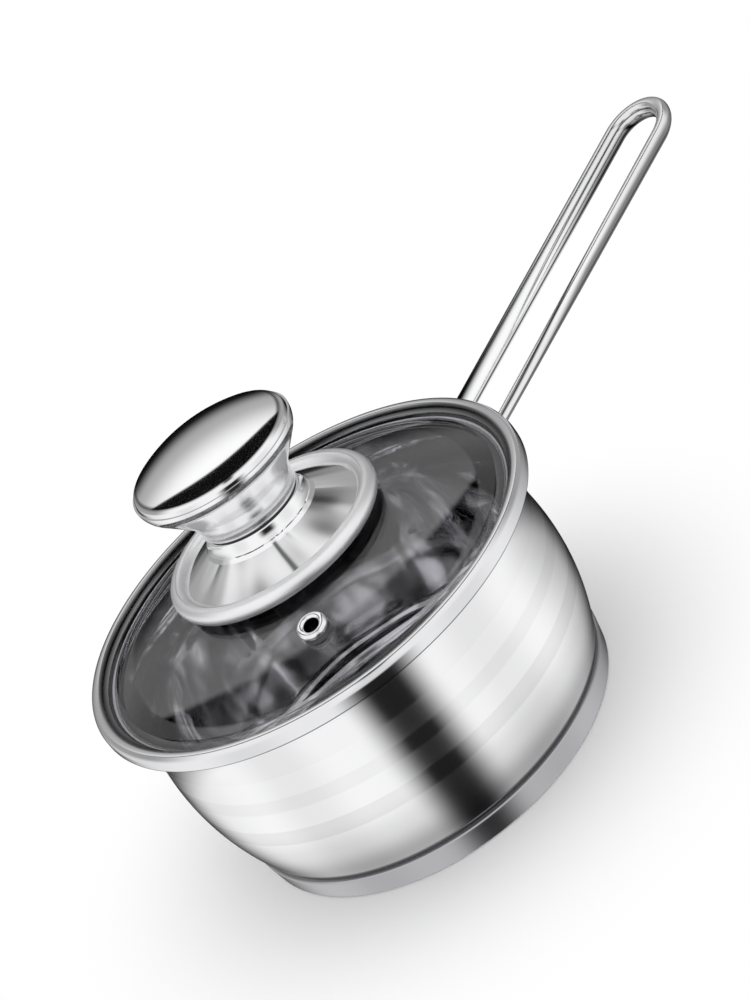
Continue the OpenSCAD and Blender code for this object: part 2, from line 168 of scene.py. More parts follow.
class Shader:
    """A node tree of a material or of the world that is being built."""

    def __init__(self, tree: bpy.types.NodeTree) -> None:
        """Empty the tree and keep it."""
        self.tree = tree
        tree.nodes.clear()

    def node(
        self,
        kind: str,
        settings: dict[str, object] | None = None,
        values: dict[int | str, object] | None = None,
        output: int | str = 0,
    ) -> Sock:
        """Add one node.

        Args:
            kind: Blender's name of the node type.
            settings: attributes of the node, set first.
            values: a number, colour or Sock for each input, by index or name.
            output: the output that is returned.

        Returns:
            The chosen output.
        """
        made = self.tree.nodes.new(kind)
        for key, value in (settings or {}).items():
            setattr(made, key, value)
        for key, value in (values or {}).items():
            self.set(made.inputs[key], value)
        found = made.outputs[output] if len(made.outputs) else None
        return Sock(self, found)

    def set(self, target: bpy.types.NodeSocket, value: object) -> None:
        """Link a Sock to an input or set its plain value.

        Args:
            target: the input.
            value: a Sock, or a plain value.
        """
        if isinstance(value, Sock):
            self.tree.links.new(value.socket, target)
        else:
            target.default_value = value

    def place(self) -> tuple[Sock, Sock, Sock]:
        """Object coordinates.

        Returns:
            x, y and z on the piece, in metres.
        """
        return self.split(self.node("ShaderNodeTexCoord", output="Object"))

    def split(self, vector: Sock) -> tuple[Sock, Sock, Sock]:
        """Take a vector apart.

        Args:
            vector: the vector.

        Returns:
            Its x, y and z.
        """
        parts = self.tree.nodes.new("ShaderNodeSeparateXYZ")
        self.set(parts.inputs[0], vector)
        return Sock(self, parts.outputs[0]), Sock(self, parts.outputs[1]), Sock(self, parts.outputs[2])

    def vector(self, x: object, y: object, z: object) -> Sock:
        """A vector of three values."""
        return self.node("ShaderNodeCombineXYZ", None, {0: x, 1: y, 2: z})

    def noise(self, spot: Sock, scale: float, detail: float = 3.0, bend: float = 0.0) -> Sock:
        """Noise round 0.5.

        Args:
            spot: where it is read.
            scale: cells in a length of 1.
            detail: finer layers on it.
            bend: how far it is bent by itself.

        Returns:
            The noise.
        """
        values = {"Vector": spot, "Scale": scale, "Detail": detail, "Distortion": bend}
        return self.node("ShaderNodeTexNoise", None, values)

    def bump(self, strength: float, distance: float, height: Sock, under: Sock | None = None) -> Sock:
        """Bend the normal by a height.

        Args:
            strength: share of the effect.
            distance: what a height of 1 stands for, in metres.
            height: the height.
            under: normal that is bent, or None for the piece's own.

        Returns:
            The bent normal.
        """
        values = {"Strength": strength, "Distance": distance, "Height": height}
        if under is not None:
            values["Normal"] = under
        return self.node("ShaderNodeBump", None, values, output="Normal")

    def blend(self, share: object, first: Sequence[float], second: Sequence[float]) -> Sock:
        """Mix two colours by a share.

        Args:
            share: 0 gives the first colour, 1 the second.
            first: colour at 0.
            second: colour at 1.

        Returns:
            The mixed colour.
        """
        values = {0: share, 6: (*first, 1.0), 7: (*second, 1.0)}
        return self.node("ShaderNodeMix", {"data_type": "RGBA"}, values, output=2)


def new_material(name: str) -> tuple[bpy.types.Material, Shader]:
    """Start a material.

    Args:
        name: name of the material.

    Returns:
        The material and its empty shader.
    """
    made = bpy.data.materials.new(name)
    made.use_nodes = True
    return made, Shader(made.node_tree)


def close_material(shader: Shader, **inputs: object) -> None:
    """End a material with a Principled shader.

    Args:
        shader: the material's shader.
        inputs: values of the Principled inputs, with _ for a space.
    """
    values = {key.replace("_", " "): value for key, value in inputs.items()}
    surface = shader.node("ShaderNodeBsdfPrincipled", None, values)
    shader.node("ShaderNodeOutputMaterial", None, {"Surface": surface})


@dataclass(frozen=True)
class Site:
    """Where a shaded point lies on its piece, in metres, and the mark it carries."""

    x: Sock
    y: Sock
    z: Sock
    radius: Sock
    mark: Sock


@dataclass(frozen=True)
class ToneBand:
    """A level band of another tone, with its heights in millimetres."""

    low: float
    high: float
    factor: float
    rougher: float
    edge: float = 0.5

    def mask(self, z: Sock) -> Sock:
        """Share of the band at a height.

        Args:
            z: the height in metres.

        Returns:
            1 in the band and 0 outside it.
        """
        edge = self.edge * MM
        above = z.step(self.low * MM - edge, self.low * MM + edge)
        return above * (1 - z.step(self.high * MM - edge, self.high * MM + edge))


@dataclass(frozen=True)
class SteelFinish:
    """Steel with fine turned or drawn lines, faint smudges and level bands of another tone.

    A piece's mark, from 0 to 1 at each point, takes its brightness to mark_level; where that level is below
    1, the mark is painted shade and painted reflection. Inside the pan the mark also carries painted
    reflections of a polished vessel, rings on the floor and swirls on the wall, and a gentle wave in the
    normal. The steel can also be darker toward the bottom and darker far from the axis, both painted shade.
    Bands, the heights of the painted shade toward the bottom, mark_wave and rim_from are in millimetres, all
    other lengths in metres.
    """

    name: str
    tone: Sequence[float]
    roughness: float
    lines: float = 0.25
    smudge: float = 0.03
    bands: tuple[ToneBand, ...] = ()
    painted_shade_below: tuple[tuple[float, float, float], ...] = ()
    grain: float = 0.12
    mark_level: float = 1.0
    mark_rough: float = 0.0
    mark_wave: float = 0.0
    wave_drift: float = 0.0
    rings: float = 0.0
    swirl: float = 0.0
    far_loss: float = 0.0
    rim_from: float = 0.0
    rim_rough: float = 0.0

    line_scale: ClassVar[float] = 2600.0
    line_rough: ClassVar[float] = 0.12
    cloud_scale: ClassVar[float] = 38.0
    cloud_level: ClassVar[float] = 0.03
    clean_level: ClassVar[float] = 0.99
    fleck_scale: ClassVar[float] = 900.0
    fleck_share: ClassVar[float] = 0.12
    grain_depth: ClassVar[float] = 0.00002
    least_rough: ClassVar[float] = 0.02
    far_out: ClassVar[Point] = (0.12, 0.20)
    rim_blend: ClassVar[float] = 0.8
    axis_guard: ClassVar[float] = 0.004
    ring_scale: ClassVar[float] = 105.0
    ring_shift: ClassVar[float] = 0.3
    ring_floor: ClassVar[Point] = (0.0065, 0.0080)
    swirl_scale: ClassVar[float] = 4.2
    swirl_bend: ClassVar[float] = 0.9
    swirl_core: ClassVar[float] = 0.03
    swirl_rise: ClassVar[float] = 8.0
    swirl_wall: ClassVar[Point] = (0.004, 0.016)
    swirl_on_floor: ClassVar[float] = 0.25
    swirl_middle: ClassVar[float] = 0.45
    patch_edges: ClassVar[Point] = (0.40, 0.60)
    wave_scale: ClassVar[float] = 3.4
    wave_rise: ClassVar[float] = 3.0
    wave_wall: ClassVar[Point] = (0.004, 0.018)

    def build(self) -> bpy.types.Material:
        """Make the material.

        Returns:
            The finished material.
        """
        made, shader = new_material(self.name)
        x, y, z = shader.place()
        mark = shader.node("ShaderNodeAttribute", {"attribute_name": MARK}, output="Fac")
        site = Site(x, y, z, (x * x + y * y) ** 0.5, mark)
        spot = shader.vector(x, y, z)
        turned = shader.noise(shader.vector(site.radius, 0.0, z), self.line_scale, 2.0)
        cloud = shader.noise(spot, self.cloud_scale, 3.0)
        fleck = shader.noise(spot, self.fleck_scale, 2.0)
        masks = [band.mask(z) for band in self.bands]
        worn = shader.blend(self._level(shader, site, cloud, masks), BLACK, self.tone)
        rough = self._rough(site, cloud, turned, masks).most(self.least_rough)
        normal = self._normal(shader, site, turned * self.lines + fleck * self.fleck_share)
        close_material(shader, Base_Color=worn, Metallic=1.0, Roughness=rough, Normal=normal)
        return made

    def _level(self, shader: Shader, site: Site, cloud: Sock, masks: list[Sock]) -> Sock:
        """Brightness of the steel, with its painted shade and painted reflections.

        Args:
            shader: the material's shader.
            site: place of the point.
            cloud: soft noise of the smudges.
            masks: share of each band.

        Returns:
            Brightness, where 1 is the full tone.
        """
        level = (cloud - 0.5) * self.cloud_level + self.clean_level
        for band, mask in zip(self.bands, masks):
            level = level * (1 + mask * (band.factor - 1))
        # Painted shade: the steel is darker below each of these heights.
        for low, high, loss in self.painted_shade_below:
            level = level - (1 - site.z.step(low * MM, high * MM)) * loss
        # Painted shade: darker far from the axis.
        if self.far_loss:
            level = level - site.radius.step(*self.far_out) * self.far_loss
        # The mark's painted shade and painted reflection.
        if self.mark_level != 1.0:
            level = (level + (self.mark_level - level) * site.mark).most(0.0)
        # Painted reflections: soft rings on the floor of the pan.
        if self.rings:
            around = shader.vector(site.radius, site.x * self.ring_shift, site.y * self.ring_shift)
            ring = shader.noise(around, self.ring_scale, 1.0).step(*self.patch_edges) - 0.5
            level = level + ring * site.mark * (1 - site.z.step(*self.ring_floor)) * self.rings
        # Painted reflections: swirls on the wall and floor of the pan.
        if self.swirl:
            wide = (site.radius * site.radius + self.swirl_core**2) ** 0.5
            spoke = shader.vector(site.x / wide, site.y / wide, site.z * self.swirl_rise)
            patch = shader.noise(spoke, self.swirl_scale, 1.0, self.swirl_bend).step(*self.patch_edges)
            share = site.z.step(*self.swirl_wall) * (1 - self.swirl_on_floor) + self.swirl_on_floor
            level = level + (patch - self.swirl_middle) * site.mark * share * self.swirl
        return level

    def _rough(self, site: Site, cloud: Sock, turned: Sock, masks: list[Sock]) -> Sock:
        """Roughness of the steel.

        Args:
            site: place of the point.
            cloud: soft noise of the smudges.
            turned: noise of the fine lines.
            masks: share of each band.

        Returns:
            The roughness.
        """
        lines = (turned - 0.5) * self.lines * self.line_rough
        rough = self.roughness + (cloud - 0.5) * self.smudge * 2 + lines
        for band, mask in zip(self.bands, masks):
            rough = rough + mask * band.rougher
        if self.mark_rough:
            rough = rough + site.mark * self.mark_rough
        if self.rim_rough:
            start, end = self.rim_from * MM, (self.rim_from + self.rim_blend) * MM
            rough = rough + site.radius.step(start, end) * self.rim_rough
        return rough

    def _normal(self, shader: Shader, site: Site, height: Sock) -> Sock:
        """Normal of the steel, with its grain and wave.

        Args:
            shader: the material's shader.
            site: place of the point.
            height: height of the grain.

        Returns:
            The normal.
        """
        if not self.mark_wave:
            return shader.bump(self.grain, self.grain_depth, height)
        fine = shader.bump(self.grain, self.grain_depth, height * (1 - site.mark))
        out = site.radius.most(self.axis_guard)
        along = site.z * self.wave_rise + site.radius * self.wave_drift
        wave = shader.noise(shader.vector(site.x / out, site.y / out, along), self.wave_scale, 0.0)
        wave = wave * site.mark * site.z.step(*self.wave_wall)
        return shader.bump(1.0, self.mark_wave * MM, wave, fine)


@dataclass(frozen=True)
class GlassFinish:
    """Clear tempered glass with a weak tint, a faint ripple and a trace of haze."""

    name: str
    tint: Sequence[float]
    refraction: float = 1.5
    ripple: float = 0.08
    ripple_scale: float = 14.0
    ripple_depth: float = 0.0002
    haze: float = 0.012
    haze_scale: float = 60.0

    def build(self) -> bpy.types.Material:
        """Make the material.

        Returns:
            The finished material.
        """
        made, shader = new_material(self.name)
        spot = shader.vector(*shader.place())
        wave = shader.noise(spot, self.ripple_scale, 1.0)
        cloud = shader.noise(spot, self.haze_scale, 2.0)
        close_material(
            shader,
            Base_Color=(*self.tint, 1.0),
            Roughness=cloud * self.haze,
            IOR=self.refraction,
            Transmission_Weight=1.0,
            Normal=shader.bump(self.ripple, self.ripple_depth, wave),
        )
        return made


@dataclass(frozen=True)
class SoftFinish:
    """Silicone or moulded plastic with a fine grain and a cloudy tone."""

    name: str
    tone: Sequence[float]
    roughness: float
    grain: float = 0.3
    grain_scale: float = 1800.0
    grain_depth: float = 0.00004
    grain_rough: float = 0.12
    cloud_scale: float = 120.0
    darker: float = 0.82

    def build(self) -> bpy.types.Material:
        """Make the material.

        Returns:
            The finished material.
        """
        made, shader = new_material(self.name)
        spot = shader.vector(*shader.place())
        grain = shader.noise(spot, self.grain_scale, 2.0)
        cloud = shader.noise(spot, self.cloud_scale, 2.0)
        dark = [value * self.darker for value in self.tone]
        close_material(
            shader,
            Base_Color=shader.blend(cloud, dark, self.tone),
            Roughness=self.roughness + (grain - 0.5) * self.grain_rough,
            Normal=shader.bump(self.grain, self.grain_depth, grain),
        )
        return made


# Meshes


def arc(x: float, z: float, r: float, start: float, end: float, turn: float = 3.0) -> Points:
    """Points of an arc.

    Args:
        x: centre, outward.
        z: centre, up.
        r: radius.
        start: first angle in degrees.
        end: last angle in degrees.
        turn: largest angle between two points.

    Returns:
        Points from start to end.
    """
    count = max(2, math.ceil(abs(end - start) / turn))
    angles = [math.radians(start + (end - start) * i / count) for i in range(count + 1)]
    return [(x + r * math.cos(a), z + r * math.sin(a)) for a in angles]


def smooth(low: float, high: float, value: float) -> float:
    """Go smoothly from 0 at low to 1 at high."""
    share = min(1.0, max(0.0, (value - low) / (high - low)))
    return share * share * (3 - 2 * share)


def ridge(value: float, centre: float, half: float) -> float:
    """A smooth ridge of height 1 at the centre that ends at half a width from it."""
    return 1 - smooth(0.0, half, abs(value - centre))


def between(start: Point, end: Point) -> Points:
    """Points on the straight line from start to end, near both ends and in the middle."""
    (x, z), (far_x, far_z) = start, end
    return [(x + (far_x - x) * k, z + (far_z - z) * k) for k in NEAR_ENDS]


def drift(pair: Point, share: float) -> float:
    """Go evenly from the first value of a pair to the second."""
    return pair[0] + (pair[1] - pair[0]) * share


class NodeGroup:
    """A geometry node tree that is being built."""

    def __init__(self, name: str, inputs: Iterable[tuple[str, str, object]]) -> None:
        """Start a tree.

        Args:
            name: name of the tree.
            inputs: name, socket type and default of each input after the geometry.
        """
        self.tree = bpy.data.node_groups.new(name, "GeometryNodeTree")
        face = self.tree.interface
        face.new_socket("Geometry", in_out="INPUT", socket_type="NodeSocketGeometry")
        self.ids: dict[str, str] = {}
        for label, kind, default in inputs:
            item = face.new_socket(label, in_out="INPUT", socket_type=kind)
            if default is not None:
                item.default_value = default
            self.ids[label] = item.identifier
        face.new_socket("Geometry", in_out="OUTPUT", socket_type="NodeSocketGeometry")
        self.source = self.tree.nodes.new("NodeGroupInput")
        self.sink = self.tree.nodes.new("NodeGroupOutput")

    def add(
        self,
        kind: str,
        settings: dict[str, object] | None = None,
        values: dict[int | str, object] | None = None,
    ) -> bpy.types.Node:
        """Add one node.

        Args:
            kind: Blender's name of the node type.
            settings: attributes of the node, set first.
            values: a plain value or an output socket for each input.

        Returns:
            The node.
        """
        made = self.tree.nodes.new(kind)
        for key, value in (settings or {}).items():
            setattr(made, key, value)
        for key, value in (values or {}).items():
            target = made.inputs[key]
            if isinstance(value, bpy.types.NodeSocket):
                self.tree.links.new(value, target)
            else:
                target.default_value = value
        return made

    def maths(self, operation: str, *values: object) -> bpy.types.NodeSocket:
        """A Math node's result for these values."""
        return self.add("ShaderNodeMath", {"operation": operation}, dict(enumerate(values))).outputs[0]

    def entry(self, label: str) -> bpy.types.NodeSocket:
        """The group input of this name."""
        return self.source.outputs[label]

    def indexed(self, kind: str, value: object, index: object) -> bpy.types.NodeSocket:
        """Read a point value of the input geometry.

        Args:
            kind: data type of the value.
            value: field to read.
            index: index of the point.

        Returns:
            The value at that point.
        """
        node = self.add("GeometryNodeSampleIndex", {"data_type": kind, "domain": "POINT"})
        self.tree.links.new(self.source.outputs["Geometry"], node.inputs["Geometry"])
        self.tree.links.new(value, node.inputs["Value"])
        self.tree.links.new(index, node.inputs["Index"])
        return node.outputs[0]

    def marked(self, geometry: bpy.types.NodeSocket, index: object) -> bpy.types.NodeSocket:
        """Carry the mark of each input point over to the new geometry.

        Args:
            geometry: the new geometry.
            index: index of the input point that each new point stands for.

        Returns:
            The geometry with its marks.
        """
        source = self.add("GeometryNodeInputNamedAttribute", {"data_type": "FLOAT"}, {"Name": MARK})
        value = self.indexed("FLOAT", source.outputs[0], index)
        stored = self.add(
            "GeometryNodeStoreNamedAttribute",
            {"data_type": "FLOAT", "domain": "POINT"},
            {"Geometry": geometry, "Name": MARK, "Value": value},
        )
        return stored.outputs[0]

    def grid(self, columns: object, rows: object) -> list[bpy.types.NodeSocket]:
        """Add a unit grid.

        Args:
            columns: points along x.
            rows: points along y.

        Returns:
            The grid, and the shares from 0 to 1 along x and along y.
        """
        made = self.add("GeometryNodeMeshGrid", None, {0: 1.0, 1: 1.0, 2: columns, 3: rows})
        spot = self.add("GeometryNodeInputPosition").outputs[0]
        parts = self.add("ShaderNodeSeparateXYZ", None, {0: spot})
        along = self.maths("ADD", parts.outputs[0], 0.5)
        across = self.maths("ADD", parts.outputs[1], 0.5)
        return [made.outputs[0], along, across]

    def close(self, geometry: bpy.types.NodeSocket) -> None:
        """End the tree with merging, smooth faces, Realize Instances and Set Material.

        Args:
            geometry: the geometry that the tree has made.
        """
        merged = self.add("GeometryNodeMergeByDistance", None, {"Geometry": geometry, "Distance": WELD})
        shaded = self.add("GeometryNodeSetShadeSmooth", None, {"Geometry": merged.outputs[0]})
        real = self.add("GeometryNodeRealizeInstances", None, {0: shaded.outputs[0]})
        values = {0: real.outputs[0], "Material": self.entry("Material")}
        dress = self.add("GeometryNodeSetMaterial", None, values)
        self.tree.links.new(dress.outputs[0], self.sink.inputs[0])


def mend(mesh: bpy.types.Mesh, crease: float) -> None:
    """Close the ends, point the faces outward and mark the creases.

    Args:
        mesh: the mesh.
        crease: angle in degrees above which an edge stays sharp.
    """
    work = bmesh.new()
    work.from_mesh(mesh)
    bmesh.ops.remove_doubles(work, verts=work.verts, dist=WELD)
    bmesh.ops.dissolve_degenerate(work, edges=work.edges, dist=SLIVER)
    open_edges = [edge for edge in work.edges if edge.is_boundary]
    if open_edges:
        filled = bmesh.ops.holes_fill(work, edges=open_edges, sides=0)["faces"]
        bmesh.ops.triangulate(work, faces=filled)
    bmesh.ops.recalc_face_normals(work, faces=work.faces)
    if work.calc_volume(signed=True) < 0:
        bmesh.ops.reverse_faces(work, faces=work.faces)
    limit = math.radians(crease)
    for face in work.faces:
        face.smooth = True
    for edge in work.edges:
        edge.smooth = len(edge.link_faces) == 2 and edge.calc_face_angle(0.0) < limit
    work.to_mesh(mesh)
    work.free()


class MeshMaker:
    """Turns outlines and tube stations into closed meshes by geometry nodes."""

    def __init__(self) -> None:
        """Build both trees once."""
        self.lathe = self._lathe()
        self.tube = self._tube()

    def _lathe(self) -> NodeGroup:
        """The tree that turns an outline of points round the Z axis.

        Returns:
            The tree.
        """
        inputs = [
            ("Segments", "NodeSocketInt", 192),
            ("Rows", "NodeSocketInt", 10),
            ("Material", "NodeSocketMaterial", None),
        ]
        group = NodeGroup("turned_outline", inputs)
        columns = group.maths("ADD", group.entry("Segments"), 1.0)
        grid, along, across = group.grid(columns, group.entry("Rows"))
        last = group.maths("SUBTRACT", group.entry("Rows"), 1.0)
        index = group.maths("ROUND", group.maths("MULTIPLY", across, last))
        spot = group.add("GeometryNodeInputPosition").outputs[0]
        point = group.indexed("FLOAT_VECTOR", spot, index)
        parts = group.add("ShaderNodeSeparateXYZ", None, {0: point})
        angle = group.maths("MULTIPLY", along, math.tau)
        x = group.maths("MULTIPLY", parts.outputs[0], group.maths("COSINE", angle))
        y = group.maths("MULTIPLY", parts.outputs[0], group.maths("SINE", angle))
        place = group.add("ShaderNodeCombineXYZ", None, {0: x, 1: y, 2: parts.outputs[2]})
        laid = group.marked(grid, index)
        moved = group.add("GeometryNodeSetPosition", None, {"Geometry": laid, "Position": place.outputs[0]})
        group.close(moved.outputs[0])
        return group

    def _tube(self) -> NodeGroup:
        """The tree that lays a closed section along stations of a path.

        Returns:
            The tree.
        """
        inputs = [
            ("Stations", "NodeSocketInt", 10),
            ("Sides", "NodeSocketInt", 48),
            ("Material", "NodeSocketMaterial", None),
        ]
        group = NodeGroup("formed_tube", inputs)
        stations, sides = group.entry("Stations"), group.entry("Sides")
        grid, along, across = group.grid(stations, group.maths("ADD", sides, 1.0))
        last = group.maths("SUBTRACT", stations, 1.0)
        station = group.maths("ROUND", group.maths("MULTIPLY", along, last))
        side = group.maths("ROUND", group.maths("MULTIPLY", across, sides))
        side = group.maths("MODULO", side, sides)
        index = group.maths("ADD", group.maths("MULTIPLY", station, sides), side)
        spot = group.add("GeometryNodeInputPosition").outputs[0]
        place = group.indexed("FLOAT_VECTOR", spot, index)
        laid = group.marked(grid, index)
        moved = group.add("GeometryNodeSetPosition", None, {"Geometry": laid, "Position": place})
        group.close(moved.outputs[0])
        return group

    def _run(
        self,
        name: str,
        points: list[Vector],
        marks: list[float],
        group: NodeGroup,
        values: dict[str, object],
        crease: float,
    ) -> bpy.types.Object:
        """Run a tree on points and turn the result into a plain mesh piece.

        Args:
            name: name of the piece.
            points: input points in metres.
            marks: mark of each point, which its finish can read.
            group: the tree.
            values: its inputs by name.
            crease: angle in degrees above which an edge stays sharp.

        Returns:
            The piece, at the origin.
        """
        seed = bpy.data.meshes.new(name + "_points")
        seed.from_pydata(points, [], [])
        seed.attributes.new(MARK, "FLOAT", "POINT").data.foreach_set("value", marks)
        holder = bpy.data.objects.new(name + "_points", seed)
        bpy.context.scene.collection.objects.link(holder)
        modifier = holder.modifiers.new("form", "NODES")
        modifier.node_group = group.tree
        for label, value in values.items():
            modifier[group.ids[label]] = value
        bpy.context.view_layer.update()
        deps = bpy.context.evaluated_depsgraph_get()
        mesh = bpy.data.meshes.new_from_object(holder.evaluated_get(deps))
        holder.modifiers.remove(modifier)
        bpy.data.objects.remove(holder)
        bpy.data.meshes.remove(seed)
        mend(mesh, crease)
        mesh.name = name
        piece = bpy.data.objects.new(name, mesh)
        bpy.context.scene.collection.objects.link(piece)
        return piece

    def turn(
        self,
        name: str,
        outline: Points,
        material: bpy.types.Material,
        segments: int = 192,
        crease: float = SHARP_TURNED,
        marks: list[float] | None = None,
    ) -> bpy.types.Object:
        """Turn a closed outline round the Z axis.

        Args:
            name: name of the piece.
            outline: points outward and up in millimetres, not repeated at the end.
            material: its material.
            segments: faces round the axis.
            crease: angle in degrees above which an edge stays sharp.
            marks: mark of each point, 0 where left out.

        Returns:
            The piece.
        """
        spots = [Vector((max(x, 0.0) * MM, 0.0, z * MM)) for x, z in [*outline, outline[0]]]
        noted = marks or [0.0] * len(outline)
        values = {"Segments": segments, "Rows": len(spots), "Material": material}
        return self._run(name, spots, [*noted, noted[0]], self.lathe, values, crease)

    def sweep(
        self,
        name: str,
        rings: list[list[Vector]],
        marks: list[float],
        material: bpy.types.Material,
        crease: float = SHARP_SWEPT,
    ) -> bpy.types.Object:
        """Lay a closed section along a path.

        Args:
            name: name of the piece.
            rings: points of the section at each station, in metres.
            marks: mark of each point, ring after ring.
            material: its material.
            crease: angle in degrees above which an edge stays sharp.

        Returns:
            The piece.
        """
        spots = [spot for ring in rings for spot in ring]
        values = {"Stations": len(rings), "Sides": len(rings[0]), "Material": material}
        return self._run(name, spots, marks, self.tube, values, crease)


def settle(piece: bpy.types.Object, body: Body, slot: Slot, *nodes: str) -> bpy.types.Object:
    """Ride a piece on its body and let it stand for its CAD nodes.

    Args:
        piece: the piece.
        body: body that carries it.
        slot: material slot of the record; not used.
        nodes: CAD nodes that it stands for.

    Returns:
        The piece.
    """
    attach(piece, body.value)
    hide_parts(*nodes)
    LOG.info("%s stands for %s, %d faces", piece.name, ", ".join(nodes), len(piece.data.polygons))
    return piece


def dress_node(name: str, material: bpy.types.Material) -> None:
    """Give a CAD node a finish.

    Args:
        name: name of the node.
        material: its material.
    """
    mesh = frame["nodes"][name].data
    mesh.materials.clear()
    mesh.materials.append(material)
    LOG.info("%s keeps its CAD mesh", name)


# Finishes


class Finishes:
    """All finishes of the saucepan, each made once."""

    def __init__(self) -> None:
        """Make the materials."""
        self.shell = SteelFinish(
            "shell_steel",
            tone=(0.94, 0.94, 0.95),
            roughness=0.16,
            bands=(
                ToneBand(34.3, 41.0, 0.88, -0.06),
                ToneBand(49.3, 54.5, 0.93, -0.06),
                ToneBand(63.0, 79.0, 0.97, -0.06),
            ),
            # Painted shade toward the bottom of the body, and painted shade and painted reflections inside
            # it.
            painted_shade_below=((24.0, 40.0, 0.24), (14.0, 27.0, 0.35)),
            mark_level=0.52,
            mark_rough=-0.08,
            mark_wave=1.7,
            rings=0.45,
            swirl=0.6,
        ).build()
        self.base = SteelFinish("base_steel", (0.46, 0.46, 0.475), roughness=0.24, lines=0.5).build()
        self.bracket = SteelFinish("bracket_steel", (0.66, 0.66, 0.67), roughness=0.22).build()
        self.handle = SteelFinish(
            "handle_steel",
            tone=(0.97, 0.97, 0.98),
            roughness=0.15,
            lines=0.0,
            grain=0.02,
            # The handle's marks are painted reflections and painted shade, and far_loss darkens its outer
            # part as painted shade.
            mark_level=0.0,
            far_loss=0.17,
        ).build()
        self.band = SteelFinish(
            "band_steel",
            tone=(0.82, 0.82, 0.835),
            roughness=0.10,
            lines=0.2,
            grain=0.02,
            # The band's marks are painted shade.
            mark_level=0.0,
        ).build()
        self.eyelet = SteelFinish(
            "eyelet_steel",
            tone=(0.86, 0.86, 0.87),
            roughness=0.1,
            lines=0.0,
            grain=0.03,
            # The eyelet's marks are painted shade in its bore.
            mark_level=0.03,
        ).build()
        self.knob = SteelFinish(
            "knob_steel",
            tone=(0.90, 0.90, 0.91),
            roughness=0.06,
            lines=0.0,
            smudge=0.01,
            grain=0.004,
            # The cap's marks are a painted shade line where its roll starts.
            mark_level=0.12,
        ).build()
        self.cup = SteelFinish(
            "cup_steel",
            tone=(0.92, 0.92, 0.93),
            roughness=0.15,
            lines=0.0,
            smudge=0.01,
            grain=0.03,
        ).build()
        self.skirt = SteelFinish(
            "skirt_steel",
            tone=(0.92, 0.92, 0.93),
            roughness=0.10,
            lines=0.0,
            smudge=0.01,
            grain=0.01,
            mark_wave=0.5,
            wave_drift=14.0,
            rim_from=33.4,
            rim_rough=0.3,
        ).build()
        self.fastener = SteelFinish("fastener_steel", (0.62, 0.62, 0.63), roughness=0.3, lines=0.6).build()
        self.aluminium = SteelFinish("core_aluminium", (0.72, 0.73, 0.74), roughness=0.38, lines=0.8).build()
        self.glass = GlassFinish("lid_glass", tint=(0.88, 0.875, 0.90)).build()
        self.silicone = SoftFinish("silicone", tone=(0.74, 0.74, 0.74), roughness=0.5).build()
        self.plastic = SoftFinish("black_plastic", tone=(0.022, 0.022, 0.024), roughness=0.45).build()


# Pan and handle


